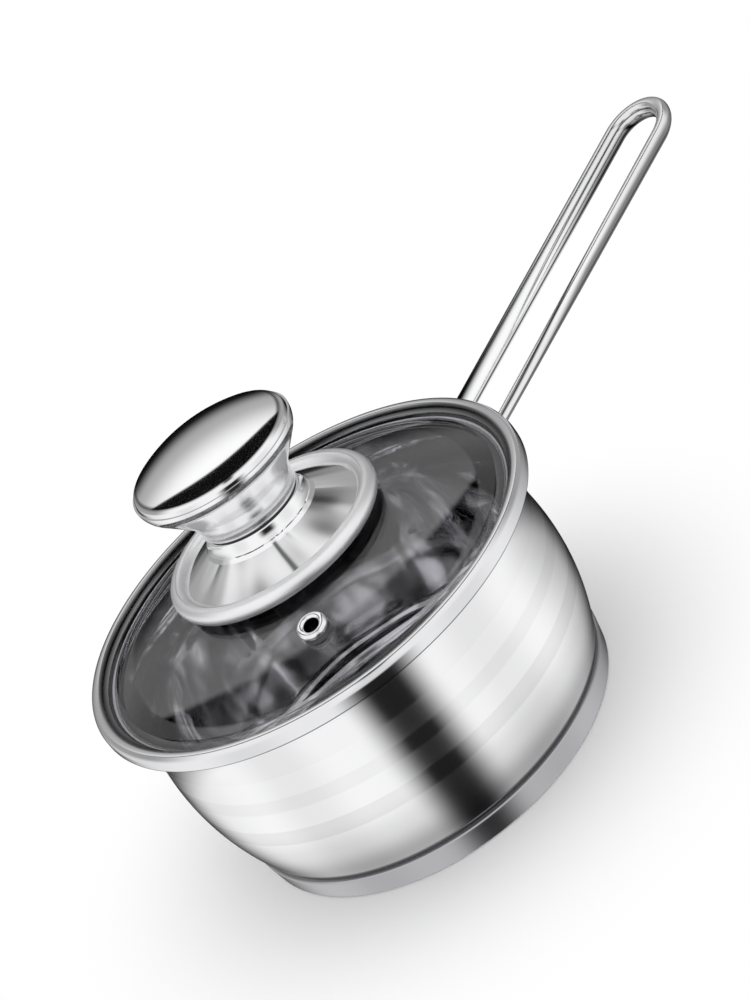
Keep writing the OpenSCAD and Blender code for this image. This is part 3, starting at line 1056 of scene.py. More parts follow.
@dataclass
class PanBody:
    """Drawn body, capsule base and their hidden core."""

    belly_r: float = 77.4
    belly_z: float = 45.3
    belly_arc_r: float = 91.5
    corner_r: float = 12.0
    flare_start_h: float = 10.0
    flare_arc_r: float = 40.0
    lip_top_z: float = 78.3
    lip_bead_r: float = 1.3
    wall: float = 0.8
    base_h: float = 9.1
    base_foot_r: float = 70.0
    base_top_r: float = 71.1
    base_wall: float = 0.6
    core_h: float = 4.4
    foot_round: float = 1.4
    top_round: float = 0.9
    core_bevel: float = 0.3
    bead_start: float = 125.0
    bead_sweep: float = 262.0
    shell_sides: int = 256
    cap_sides: int = 224

    def __post_init__(self) -> None:
        """Work out the centres and angles of the wall's arcs."""
        self.floor_z = self.base_wall + self.core_h
        self.belly_cx = self.belly_r - self.belly_arc_r
        self.corner_cz = self.floor_z + self.corner_r
        reach = self.belly_arc_r - self.corner_r
        drop = self.belly_z - self.corner_cz
        self.corner_cx = self.belly_cx + math.sqrt(reach**2 - drop**2)
        self.corner_angle = -math.degrees(math.asin(drop / reach))
        turn = math.asin(self.flare_start_h / self.belly_arc_r)
        self.flare_angle = math.degrees(turn)
        both = self.belly_arc_r + self.flare_arc_r
        self.flare_cx = self.belly_cx + both * math.cos(turn)
        self.flare_cz = self.belly_z + both * math.sin(turn)
        self.lip_cz = self.lip_top_z - self.lip_bead_r
        middle = self.flare_arc_r + self.wall / 2
        lip_turn = math.asin((self.lip_cz - self.flare_cz) / middle)
        self.lip_angle = math.degrees(lip_turn)
        self.lip_cx = self.flare_cx - middle * math.cos(lip_turn)

    def wall_line(self, depth: float) -> Points:
        """Wall from the axis to the lip.

        Args:
            depth: distance below the outer surface.

        Returns:
            Points of the line.
        """
        low, high, lip = self.corner_angle, self.flare_angle, self.lip_angle
        corner = arc(self.corner_cx, self.corner_cz, self.corner_r - depth, -90, low, 4)
        belly = arc(self.belly_cx, self.belly_z, self.belly_arc_r - depth, low, high, 0.8)
        flare = arc(self.flare_cx, self.flare_cz, self.flare_arc_r + depth, 180 + high, 180 - lip, 1.5)
        return [(0.0, self.floor_z + depth), *corner, *belly[1:], *flare[1:]]

    def shell_outline(self) -> Points:
        """Closed outline of the drawn body with its rolled bead.

        Returns:
            Points of the outline.
        """
        start = 90 - self.lip_angle - self.bead_start
        bead = arc(self.lip_cx, self.lip_cz, self.lip_bead_r, start, start + self.bead_sweep, 12)
        return [*self.wall_line(0.0)[:-1], *bead, *reversed(self.wall_line(self.wall)[:-1])]

    def cap_outline(self) -> Points:
        """Closed outline of the steel capsule round the core.

        Returns:
            Points of the outline.
        """
        lean = math.degrees(math.atan2(self.base_top_r - self.base_foot_r, self.base_h - self.foot_round))
        top_x, top_z = self.base_top_r - self.top_round, self.base_h - self.top_round
        foot = arc(self.base_foot_r - self.foot_round, self.foot_round, self.foot_round, -90, -lean, 8)
        top = arc(top_x, top_z, self.top_round, -lean, 90, 8)
        rise = self.base_h - self.corner_cz
        touch = self.corner_cx + math.sqrt(self.corner_r**2 - rise**2)
        deep = self.base_h - self.base_wall
        inside = self.corner_cx + math.sqrt(self.corner_r**2 - (deep - self.corner_cz) ** 2)
        inner_top = self.base_top_r - self.base_wall
        inner_foot = self.base_foot_r - self.base_wall
        return [
            (0.0, 0.0),
            *foot,
            *top,
            (touch, self.base_h),
            (inside, deep),
            (inner_top - self.core_bevel, deep),
            (inner_top, deep - self.core_bevel),
            (inner_foot, self.foot_round),
            (inner_foot - self.foot_round + self.base_wall, self.base_wall),
            (0.0, self.base_wall),
        ]

    def build(self, maker: MeshMaker, finishes: Finishes) -> None:
        """Make the pieces and dress the hidden core.

        Args:
            maker: makes the meshes.
            finishes: gives the materials.
        """
        outline = self.shell_outline()
        inner = len(self.wall_line(self.wall)) - 1
        # The inner surface is marked for the painted shade and painted reflections inside the pan.
        marks = [0.0] * (len(outline) - inner) + [1.0] * inner
        shell = maker.turn("pan_shell_fine", outline, finishes.shell, self.shell_sides, marks=marks)
        cap = maker.turn("base_cap_fine", self.cap_outline(), finishes.base, self.cap_sides)
        settle(shell, Body.PAN, Slot.SATIN, "pan_shell")
        settle(cap, Body.PAN, Slot.SATIN, "base_cap")
        dress_node("base_core", finishes.aluminium)


@dataclass
class LoopHandle:
    """Long loop of formed tube, and the bracket that carries it.

    Its painted reflections and painted shade, dark lines along the legs, are laid out in degrees round the
    section. The pairs crown_loss, crown_inner, crown_outer, line_half and under_top hold the value at the
    root and at the tip. The other pairs hold where a change starts and ends.
    """

    rise: float = 15.6
    show_gap: float = 0.9
    drop: float = 4.4
    reach: float = 124.0
    leg_half_gap: float = 12.2
    major: float = 3.6
    minor_root: float = 1.9
    minor_tip: float = 2.7
    lean: float = 50.0
    bracket_t: float = 1.4
    bracket_h: float = 13.0
    bracket_lip_gap: float = 1.7
    collar_l: float = 3.0
    fold_end: float = 91.0
    fold_swing: float = 75.0
    fold_power: float = 2.2
    fold_from: float = 0.28
    fold_over: float = 0.3
    fold_depth: float = 0.45
    fold_half: float = 15.0
    fold_foot: float = 208.0
    above: int = 32
    below: int = 64
    leg_steps: int = 30
    bend_steps: int = 56

    # Painted reflections along the legs, and painted shade on the inner face and in the fold.
    crown_loss: ClassVar[Point] = (1.06, 0.58)
    crown_inner: ClassVar[Point] = (48.0, -10.0)
    crown_outer: ClassVar[Point] = (104.0, 58.0)
    crown_edge: ClassVar[Point] = (-40.0, 0.0)
    foot_loss: ClassVar[float] = 0.97
    foot_turn: ClassVar[float] = 150.0
    foot_half: ClassVar[float] = 17.0
    line_loss: ClassVar[float] = 0.99
    line_turn: ClassVar[float] = -9.0
    line_swing: ClassVar[float] = 190.0
    line_from: ClassVar[float] = 0.1
    line_power: ClassVar[float] = 1.5
    line_half: ClassVar[Point] = (24.0, 40.0)
    line_fade: ClassVar[Point] = (0.6, 0.8)
    under_loss: ClassVar[float] = 0.72
    under_top: ClassVar[Point] = (-72.0, 48.0)
    under_most: ClassVar[float] = -8.0
    under_blend: ClassVar[float] = 40.0
    under_edge: ClassVar[Point] = (-150.0, -110.0)
    edge_loss: ClassVar[float] = 0.99
    edge_turn: ClassVar[float] = -76.0
    edge_half: ClassVar[float] = 22.0
    face_loss: ClassVar[float] = 0.85
    face_fade: ClassVar[Point] = (0.5, 0.88)
    face_edge: ClassVar[Point] = (8.0, 55.0)
    crease_loss: ClassVar[float] = 0.9
    crease_half: ClassVar[float] = 6.0
    crease_gain: ClassVar[float] = 1.4

    def shade(self, turn: float, share: float, outward: float) -> float:
        """Painted reflections: dark lines that run along a leg and drift round it on the way to the tip.

        Args:
            turn: angle round the section.
            share: share of the way from the root to the tip.
            outward: 1 on the left leg, -1 on the right leg, between them round the tip.

        Returns:
            Loss of brightness, from 0 to 1.
        """
        turn = (turn + 180) % 360 - 180
        lit = smooth(drift(self.crown_inner, share), drift(self.crown_outer, share), turn)
        crown = drift(self.crown_loss, share) * (1 - lit) * smooth(*self.crown_edge, turn)
        foot = self.foot_loss * ridge(turn, self.foot_turn, self.foot_half)
        centre = self.line_swing * max(0.0, share - self.line_from) ** self.line_power + self.line_turn
        along = ridge(turn, centre, drift(self.line_half, share))
        line = self.line_loss * (1 - smooth(*self.line_fade, share)) * along
        reach = min(self.under_most, drift(self.under_top, share))
        low = 1 - smooth(reach - self.under_blend, reach, turn)
        under = self.under_loss * low * smooth(*self.under_edge, turn)
        edge = self.edge_loss * ridge(turn, self.edge_turn, self.edge_half)
        left = 1 - (1 - min(1.0, crown)) * (1 - foot)
        right = 1 - (1 - line) * (1 - under) * (1 - edge)
        return (left * (1 + outward) + right * (1 - outward)) / 2

    def section(self, minor: float, share: float, outward: float) -> tuple[Points, list[float]]:
        """Section of the tube: a leaning oval with a fold pressed into its inner face.

        Args:
            minor: smaller half width.
            share: share of the way from the root to the tip.
            outward: 1 on the left leg, -1 on the right leg, between them round the tip.

        Returns:
            Points outward and up, and the mark of each, which is its loss of brightness by painted
            reflection and painted shade.
        """
        lean = math.radians(self.lean)
        fold = self.fold_end + self.fold_swing * (1 - share) ** self.fold_power
        pressed = min(1.0, max(0.0, (share - self.fold_from) / self.fold_over))
        # Painted shade on the inner face and along the crease of the fold.
        inner_face = self.face_loss * smooth(*self.face_fade, share)
        crease_top = self.crease_loss * min(1.0, pressed * self.crease_gain)
        turns = [fold * i / self.above for i in range(self.above)]
        turns += [fold + (360 - fold) * i / self.below for i in range(self.below)]
        points: Points = []
        marks: list[float] = []
        for turn in turns:
            dent = self.fold_depth * pressed * max(0.0, 1 - abs(turn - fold) / self.fold_half)
            a = math.radians(turn)
            wide = (self.major - dent) * math.cos(a)
            thin = (minor - dent) * math.sin(a)
            out = wide * math.cos(lean) - thin * math.sin(lean)
            points.append((out, wide * math.sin(lean) + thin * math.cos(lean)))
            near, far = (fold + change for change in self.face_edge)
            face = inner_face * smooth(near, far, turn) if turn < self.fold_foot else 0.0
            crease = crease_top * ridge(turn, fold, self.crease_half)
            marks.append(1 - (1 - self.shade(turn, share, outward)) * (1 - face) * (1 - crease))
        return points, marks

    def stations(self, body: PanBody, lid: "GlassLid") -> list[tuple[float, float, float, float, float]]:
        """Stations of the path, from one root round the tip to the other.

        Args:
            body: the pan that carries the handle.
            lid: the lid that the handle passes below.

        Returns:
            Distance up the handle, level offset, outward direction and share of the way to the tip.
        """
        slope = math.cos(math.radians(self.rise))
        mid_z = body.lip_cz - body.lip_bead_r - self.bracket_lip_gap - self.bracket_h / 2
        wall_r = body.flare_cx - math.sqrt(body.flare_arc_r**2 - (mid_z - body.flare_cz) ** 2)
        face_r = wall_r + self.bracket_t
        root = -(lid.outer_r + self.show_gap - face_r) / slope + self.collar_l
        end = self.reach / slope - self.leg_half_gap
        steps = self.leg_steps
        leg = [(root + (end - root) * i / steps, i / steps) for i in range(steps + 1)]
        path = [(s, self.leg_half_gap, 0.0, 1.0, k) for s, k in leg]
        for i in range(1, self.bend_steps):
            a = math.pi / 2 - math.pi * i / self.bend_steps
            c, d = math.cos(a), math.sin(a)
            path.append((end + self.leg_half_gap * c, self.leg_half_gap * d, c, d, 1.0))
        path += [(s, -self.leg_half_gap, 0.0, -1.0, k) for s, k in reversed(leg)]
        return path

    def build(self, maker: MeshMaker, finishes: Finishes, body: PanBody, lid: "GlassLid") -> None:
        """Make the loop and dress the bracket.

        Args:
            maker: makes the meshes.
            finishes: gives the materials.
            body: the pan that carries the handle.
            lid: the lid that the handle passes below.
        """
        place = Matrix.Translation((lid.outer_r + self.show_gap, 0.0, lid.flange_z - self.drop))
        turn = place @ Matrix.Rotation(math.radians(-self.rise), 4, "Y")
        rings: list[list[Vector]] = []
        marks: list[float] = []
        for s, y, out_s, out_y, share in self.stations(body, lid):
            minor = self.minor_root + (self.minor_tip - self.minor_root) * share
            points, noted = self.section(minor, share, out_y)
            rings.append([turn @ Vector((s + out_s * o, y + out_y * o, u)) * MM for o, u in points])
            marks += noted
        loop = maker.sweep("handle_loop_fine", rings, marks, finishes.handle)
        settle(loop, Body.PAN, Slot.POLISHED, "handle_loop")
        dress_node("handle_bracket", finishes.bracket)


# Lid and knob


@dataclass
class GlassLid:
    """Domed glass and the steel band crimped round its rim."""

    lip_cx: float
    lip_top_z: float
    lip_bead_r: float
    seat_gap: float = 0.2
    crest_h: float = 2.8
    crest_reach: float = 2.1
    edge_reach: float = 2.9
    hem_reach: float = 3.4
    band_t: float = 0.6
    skirt_gap: float = 2.4
    skirt_h: float = 6.0
    glass_t: float = 3.0
    edge_gap: float = 1.7
    flat_w: float = 2.8
    dome_r: float = 170.0
    blend_r: float = 8.0
    hole_r: float = 3.1
    glass_sides: int = 224
    band_sides: int = 256
    # Painted shade inside the crest and below the outer edge of the band.
    crest_loss: float = 0.97
    hem_loss: float = 0.72
    crest_blend: float = 0.2
    edge_loss: float = 0.9
    edge_dark_h: float = 1.1

    def __post_init__(self) -> None:
        """Work out the levels and radii."""
        self.flange_z = self.lip_top_z + self.seat_gap
        self.rim_z = self.flange_z + self.band_t + self.glass_t
        self.crest_z = self.rim_z + self.crest_h
        self.crest_round = self.crest_h - self.crest_h / 3
        self.crest_r = self.lip_cx + self.crest_reach
        self.outer_r = self.crest_r + self.edge_reach
        self.hem_r = self.crest_r - self.hem_reach
        self.skirt_r = self.lip_cx - self.lip_bead_r - self.skirt_gap
        self.glass_r = self.outer_r - self.band_t - self.edge_gap
        foot_r = self.hem_r - self.flat_w
        self.dome_cz = self.rim_z - math.sqrt(self.dome_r**2 - foot_r**2)
        self.top_z = self.dome_cz + self.dome_r
        self.blend_cz = self.rim_z + self.blend_r
        turn = math.acos((self.blend_cz - self.dome_cz) / (self.dome_r + self.blend_r))
        self.blend_angle = math.degrees(turn)
        self.blend_cx = (self.dome_r + self.blend_r) * math.sin(turn)

    def glass_line(self, depth: float) -> Points:
        """Surface of the glass from the screw hole to the edge.

        Args:
            depth: distance below the upper surface.

        Returns:
            Points of the line.
        """
        start = math.degrees(math.acos(self.hole_r / (self.dome_r - depth)))
        return [
            *arc(0.0, self.dome_cz, self.dome_r - depth, start, 90 - self.blend_angle, 0.6),
            *arc(self.blend_cx, self.blend_cz, self.blend_r + depth, 270 - self.blend_angle, 270, 4)[1:],
            (self.glass_r, self.rim_z - depth),
        ]

    def band_side(self, depth: float) -> Points:
        """Band from the crest over the outer edge and the flange to the skirt.

        Args:
            depth: distance below the outer surface.

        Returns:
            Points of the line.
        """
        inner, outer = self.crest_round, self.edge_reach
        edge, bend = 3 * self.band_t, 2 * self.band_t
        return [
            *arc(self.crest_r, self.crest_z - inner, inner - depth, 180, 90, 7),
            *arc(self.crest_r, self.crest_z - outer, outer - depth, 90, 0, 5)[1:],
            *arc(self.outer_r - edge, self.flange_z + edge, edge - depth, 0, -90, 7),
            *arc(self.skirt_r + bend, self.flange_z - bend, bend + depth, 90, 180, 10),
            (self.skirt_r - depth, self.flange_z - self.skirt_h),
        ]

    def band_mark(self, point: Point) -> float:
        """Painted shade on the band: dark inside the crest and below the outer edge.

        Args:
            point: point of the outline.

        Returns:
            Loss of brightness, from 0 to 1.
        """
        x, z = point
        if z > self.rim_z and x < self.crest_r:
            loss = self.crest_loss if x > self.hem_r + self.band_t else self.hem_loss
            return loss * smooth(self.crest_r - self.crest_blend, self.crest_r - self.crest_round, x)
        below = z < self.flange_z + self.edge_dark_h and x > self.outer_r - 3 * self.band_t
        return self.edge_loss if below else 0.0

    def build(self, maker: MeshMaker, finishes: Finishes, vent: "SteamVent") -> None:
        """Make the glass and the band.

        Args:
            maker: makes the meshes.
            finishes: gives the materials.
            vent: the vent whose hole passes through the glass.
        """
        outline = [*self.glass_line(0.0), *reversed(self.glass_line(self.glass_t))]
        glass = maker.turn("lid_glass_fine", outline, finishes.glass, self.glass_sides)
        vent.cut(glass, self)
        settle(glass, Body.LID, Slot.GLASS, "lid_glass")
        hem = [
            (self.hem_r + 2 * self.band_t, self.rim_z),
            (self.hem_r, self.rim_z),
            (self.hem_r, self.rim_z + self.band_t / 2),
        ]
        outline = [*hem, *self.band_side(0.0), *reversed(self.band_side(self.band_t))]
        # The band's marks are its painted shade.
        marks = [self.band_mark(point) for point in outline]
        band = maker.turn("lid_band_fine", outline, finishes.band, self.band_sides, marks=marks)
        settle(band, Body.LID, Slot.BAND, "lid_band")


@dataclass
class SteamVent:
    """Rolled eyelet of the steam vent, with its gasket and washer."""

    radius: float = 52.2
    azimuth: float = -117.5
    bore_r: float = 2.5
    wall: float = 0.6
    flange_r: float = 5.3
    flange_h: float = 1.7
    gasket_t: float = 0.6
    washer_t: float = 0.6
    seat: float = 0.07
    slack: float = 0.3
    bore_rim: float = 0.25
    crown_steps: int = 30
    sides: int = 96
    hole_sides: int = 64
    sharp: float = 40.0

    def place(self, lid: GlassLid) -> Matrix:
        """Place of the vent on the dome.

        Args:
            lid: the lid that carries it.

        Returns:
            Matrix in millimetres, with the outer surface of the glass at its level 0.
        """
        tilt = math.asin(self.radius / lid.dome_r)
        spin = Matrix.Rotation(math.radians(self.azimuth), 4, "Z")
        down = Matrix.Translation((0.0, 0.0, lid.dome_cz))
        return spin @ down @ Matrix.Rotation(tilt, 4, "Y") @ Matrix.Translation((0.0, 0.0, lid.dome_r))

    def cut(self, glass: bpy.types.Object, lid: GlassLid) -> None:
        """Cut the hole of the vent through the glass.

        Args:
            glass: mesh piece of the glass.
            lid: the lid that it belongs to.
        """
        made = bmesh.new()
        radius = (self.bore_r + self.wall + self.slack) * MM
        bmesh.ops.create_cone(
            made,
            cap_ends=True,
            segments=self.hole_sides,
            radius1=radius,
            radius2=radius,
            depth=4 * lid.glass_t * MM,
        )
        turn = self.place(lid).to_3x3().to_4x4()
        spot = self.place(lid).translation * MM
        bmesh.ops.transform(made, matrix=Matrix.Translation(spot) @ turn, verts=made.verts)
        mesh = bpy.data.meshes.new("vent_cutter")
        made.to_mesh(mesh)
        made.free()
        cutter = bpy.data.objects.new("vent_cutter", mesh)
        bpy.context.scene.collection.objects.link(cutter)
        modifier = glass.modifiers.new("vent", "BOOLEAN")
        modifier.operation = "DIFFERENCE"
        modifier.solver = "EXACT"
        modifier.object = cutter
        bpy.context.view_layer.update()
        deps = bpy.context.evaluated_depsgraph_get()
        holed = bpy.data.meshes.new_from_object(glass.evaluated_get(deps))
        glass.modifiers.remove(modifier)
        old, glass.data = glass.data, holed
        bpy.data.meshes.remove(old)
        bpy.data.objects.remove(cutter)
        mend(glass.data, SHARP_TURNED)

    def build(self, maker: MeshMaker, finishes: Finishes, lid: GlassLid) -> None:
        """Make the eyelet and dress its gasket and washer.

        Args:
            maker: makes the meshes.
            finishes: gives the materials.
            lid: the lid that carries it.
        """
        under = lid.dome_r - lid.glass_t
        sag = under - math.sqrt(under**2 - self.flange_r**2)
        low = -lid.glass_t - sag - self.seat - self.washer_t
        barrel = self.bore_r + self.wall
        middle = (self.bore_r + self.flange_r) / 2
        half = (self.flange_r - self.bore_r) / 2
        crown = [
            (middle + half * math.cos(a), self.gasket_t + self.flange_h * (1 + 2 * math.sin(a)) / 3)
            for a in (math.pi * i / self.crown_steps for i in range(self.crown_steps + 1))
        ]
        shank = [
            (self.bore_r, low - self.wall),
            (barrel + self.wall, low - self.wall),
            (barrel + self.wall, low),
            (barrel, low),
            (barrel, self.gasket_t),
            (self.flange_r, self.gasket_t),
        ]
        outline = [*shank, *crown]
        # Painted shade in the bore and on the inner rim of the crown.
        bore = [1.0] + [0.0] * (len(shank) - 1)
        marks = bore + [1.0 if x < self.bore_r + self.bore_rim else 0.0 for x, _ in crown]
        eyelet = maker.turn("vent_eyelet_fine", outline, finishes.eyelet, self.sides, self.sharp, marks)
        spot = self.place(lid)
        move = Matrix.Translation(spot.translation * MM) @ spot.to_3x3().to_4x4()
        eyelet.data.transform(move)
        settle(eyelet, Body.LID, Slot.POLISHED, "vent_eyelet")
        dress_node("vent_washer", finishes.fastener)
        dress_node("vent_gasket", finishes.silicone)


@dataclass
class Knob:
    """Flared knob on its flared skirt, and the stack inside."""

    glass_top_z: float
    gasket_t: float = 1.2
    skirt_rise: float = 12.7
    skirt_neck_r: float = 18.6
    neck_curve_r: float = 5.5
    skirt_outer_r: float = 40.1
    skirt_roll_r: float = 3.2
    crease_angle: float = 155.0
    sheet: float = 0.7
    hole_r: float = 2.8
    spacer_t: float = 0.8
    spacer_r: float = 17.6
    neck_r: float = 18.5
    neck_h: float = 0.7
    rim_r: float = 30.4
    flare: float = 41.0
    neck_arc_r: float = 12.0
    rim_arc_r: float = 8.0
    cap_arc_r: float = 60.0
    cap_roll_r: float = 1.6
    cap_reveal: float = 0.6
    cap_insert: float = 1.6
    press: float = 0.06
    neck_end: float = 236.0
    roll_end: float = -40.0
    # Half width of the painted shade line round the cap.
    shade_line_half: float = 0.32
    wave_from: float = 1.5
    spacer_bevel: float = 0.15
    sides: int = 192
    spacer_sides: int = 128
    sharp: float = 22.0

    def __post_init__(self) -> None:
        """Work out the levels of the stack."""
        self.skirt_top_z = self.glass_top_z + self.gasket_t + self.skirt_rise
        self.cup_z = self.skirt_top_z + self.spacer_t
        self.roll_cx = self.skirt_outer_r - self.skirt_roll_r
        self.roll_cz = self.skirt_top_z - self.skirt_rise - self.gasket_t / 2
        self.neck_cz = self.cup_z + self.sheet + self.neck_h
        self.rim_cx = self.rim_r - self.rim_arc_r
        self.neck_cx = self.neck_r + self.neck_arc_r
        both = self.rim_arc_r + self.neck_arc_r
        lean = math.radians(self.flare)
        cone = self.rim_cx - self.neck_cx + both * math.cos(lean)
        self.rim_z = self.neck_cz + both * math.sin(lean) + cone / math.tan(lean)
        inner = math.sqrt((self.rim_arc_r - self.sheet) ** 2 - self.cap_insert**2)
        self.cap_side_r = self.rim_cx + inner - self.press
        self.cap_roll_cx = self.cap_side_r - self.cap_roll_r
        self.cap_roll_cz = self.rim_z + self.cap_reveal
        reach = self.cap_arc_r - self.cap_roll_r
        self.cap_cz = self.cap_roll_cz - math.sqrt(reach**2 - self.cap_roll_cx**2)
        self.cap_angle = math.degrees(math.acos(self.cap_roll_cx / reach))

    def skirt_line(self, depth: float) -> Points:
        """Skirt from the screw hole to the rolled edge.

        Args:
            depth: distance below the outer surface.

        Returns:
            Points of the line.
        """
        neck_cx, neck_cz = self.skirt_neck_r + self.neck_curve_r, self.skirt_top_z - self.sheet
        neck = arc(neck_cx, neck_cz, self.neck_curve_r + depth, 180, self.neck_end, 4)
        roll_r = self.skirt_roll_r - depth
        roll = arc(self.roll_cx, self.roll_cz, roll_r, self.crease_angle, self.roll_end, 6)
        return [
            (self.hole_r, self.skirt_top_z - depth),
            *arc(self.skirt_neck_r - self.sheet, neck_cz, self.sheet - depth, 90, 0, 15),
            *neck,
            *between(neck[-1], roll[0]),
            *roll,
        ]

    def cup_line(self, depth: float) -> Points:
        """Cup from the screw hole to the rim.

        Args:
            depth: distance below the outer surface.

        Returns:
            Points of the line.
        """
        neck = arc(self.neck_cx, self.neck_cz, self.neck_arc_r + depth, 180, 180 - self.flare, 2.5)
        rim = arc(self.rim_cx, self.rim_z, self.rim_arc_r - depth, -self.flare, 0, 2.5)
        return [
            (self.hole_r, self.cup_z + depth),
            *arc(self.neck_r - self.sheet, self.cup_z + self.sheet, self.sheet - depth, -90, 0, 15),
            *neck,
            *between(neck[-1], rim[0]),
            *rim,
        ]

    def cap_line(self, depth: float) -> Points:
        """Cap from the axis to its pressed side.

        Args:
            depth: distance below the outer surface.

        Returns:
            Points of the line.
        """
        return [
            *arc(0.0, self.cap_cz, self.cap_arc_r - depth, 90, self.cap_angle, 1.0),
            *arc(self.cap_roll_cx, self.cap_roll_cz, self.cap_roll_r - depth, self.cap_angle, 0, 5)[1:],
            (self.cap_side_r - depth, self.rim_z - self.cap_insert),
        ]

    def mark(self, node: str, x: float) -> float:
        """Mark of a sheet: a painted shade line round the cap where its roll starts, and the part of the
        skirt that has a wave.

        Args:
            node: name of the sheet's node.
            x: distance from the axis.

        Returns:
            The mark, 0 or 1.
        """
        if node == "knob_cap":
            # A painted shade line round the cap, where its roll starts.
            return 1.0 if abs(x - self.cap_roll_cx) < self.shade_line_half else 0.0
        waved = node == "knob_skirt" and self.skirt_neck_r + self.wave_from < x < self.roll_cx
        return 1.0 if waved else 0.0

    def build(self, maker: MeshMaker, finishes: Finishes) -> None:
        """Make the visible pieces and dress the hidden ones.

        Args:
            maker: makes the meshes.
            finishes: gives the materials.
        """
        sheets = (
            ("knob_skirt", self.skirt_line, finishes.skirt),
            ("knob_cup", self.cup_line, finishes.cup),
            ("knob_cap", self.cap_line, finishes.knob),
        )
        for name, line, finish in sheets:
            outline = [*line(0.0), *reversed(line(self.sheet))]
            marks = [self.mark(name, x) for x, _ in outline]
            piece = maker.turn(name + "_fine", outline, finish, self.sides, self.sharp, marks)
            piece.visible_glossy = name == "knob_skirt"
            settle(piece, Body.LID, Slot.KNOB, name)
        r, low, high, soft = self.spacer_r, self.skirt_top_z, self.cup_z, self.spacer_bevel
        ring = [
            (self.hole_r, low),
            (r - soft, low),
            (r, low + soft),
            (r, high - soft),
            (r - soft, high),
            (self.hole_r, high),
        ]
        spacer = maker.turn("knob_spacer_fine", ring, finishes.plastic, self.spacer_sides)
        settle(spacer, Body.LID, Slot.PLASTIC, "knob_spacer")
        for node in ("knob_sleeve", "knob_bridge", "knob_nut", "knob_screw", "screw_washer"):
            dress_node(node, finishes.fastener)
        for node in ("skirt_gasket", "glass_gasket"):
            dress_node(node, finishes.silicone)


# Studio


@dataclass(frozen=True)
class Fade:
    """A change that grows smoothly from 0 at one value to its amount at another."""

    start: float
    end: float
    amount: float = 1.0

    def of(self, value: Sock) -> Sock:
        """The change at a value."""
        return value.step(self.start, self.end) * self.amount


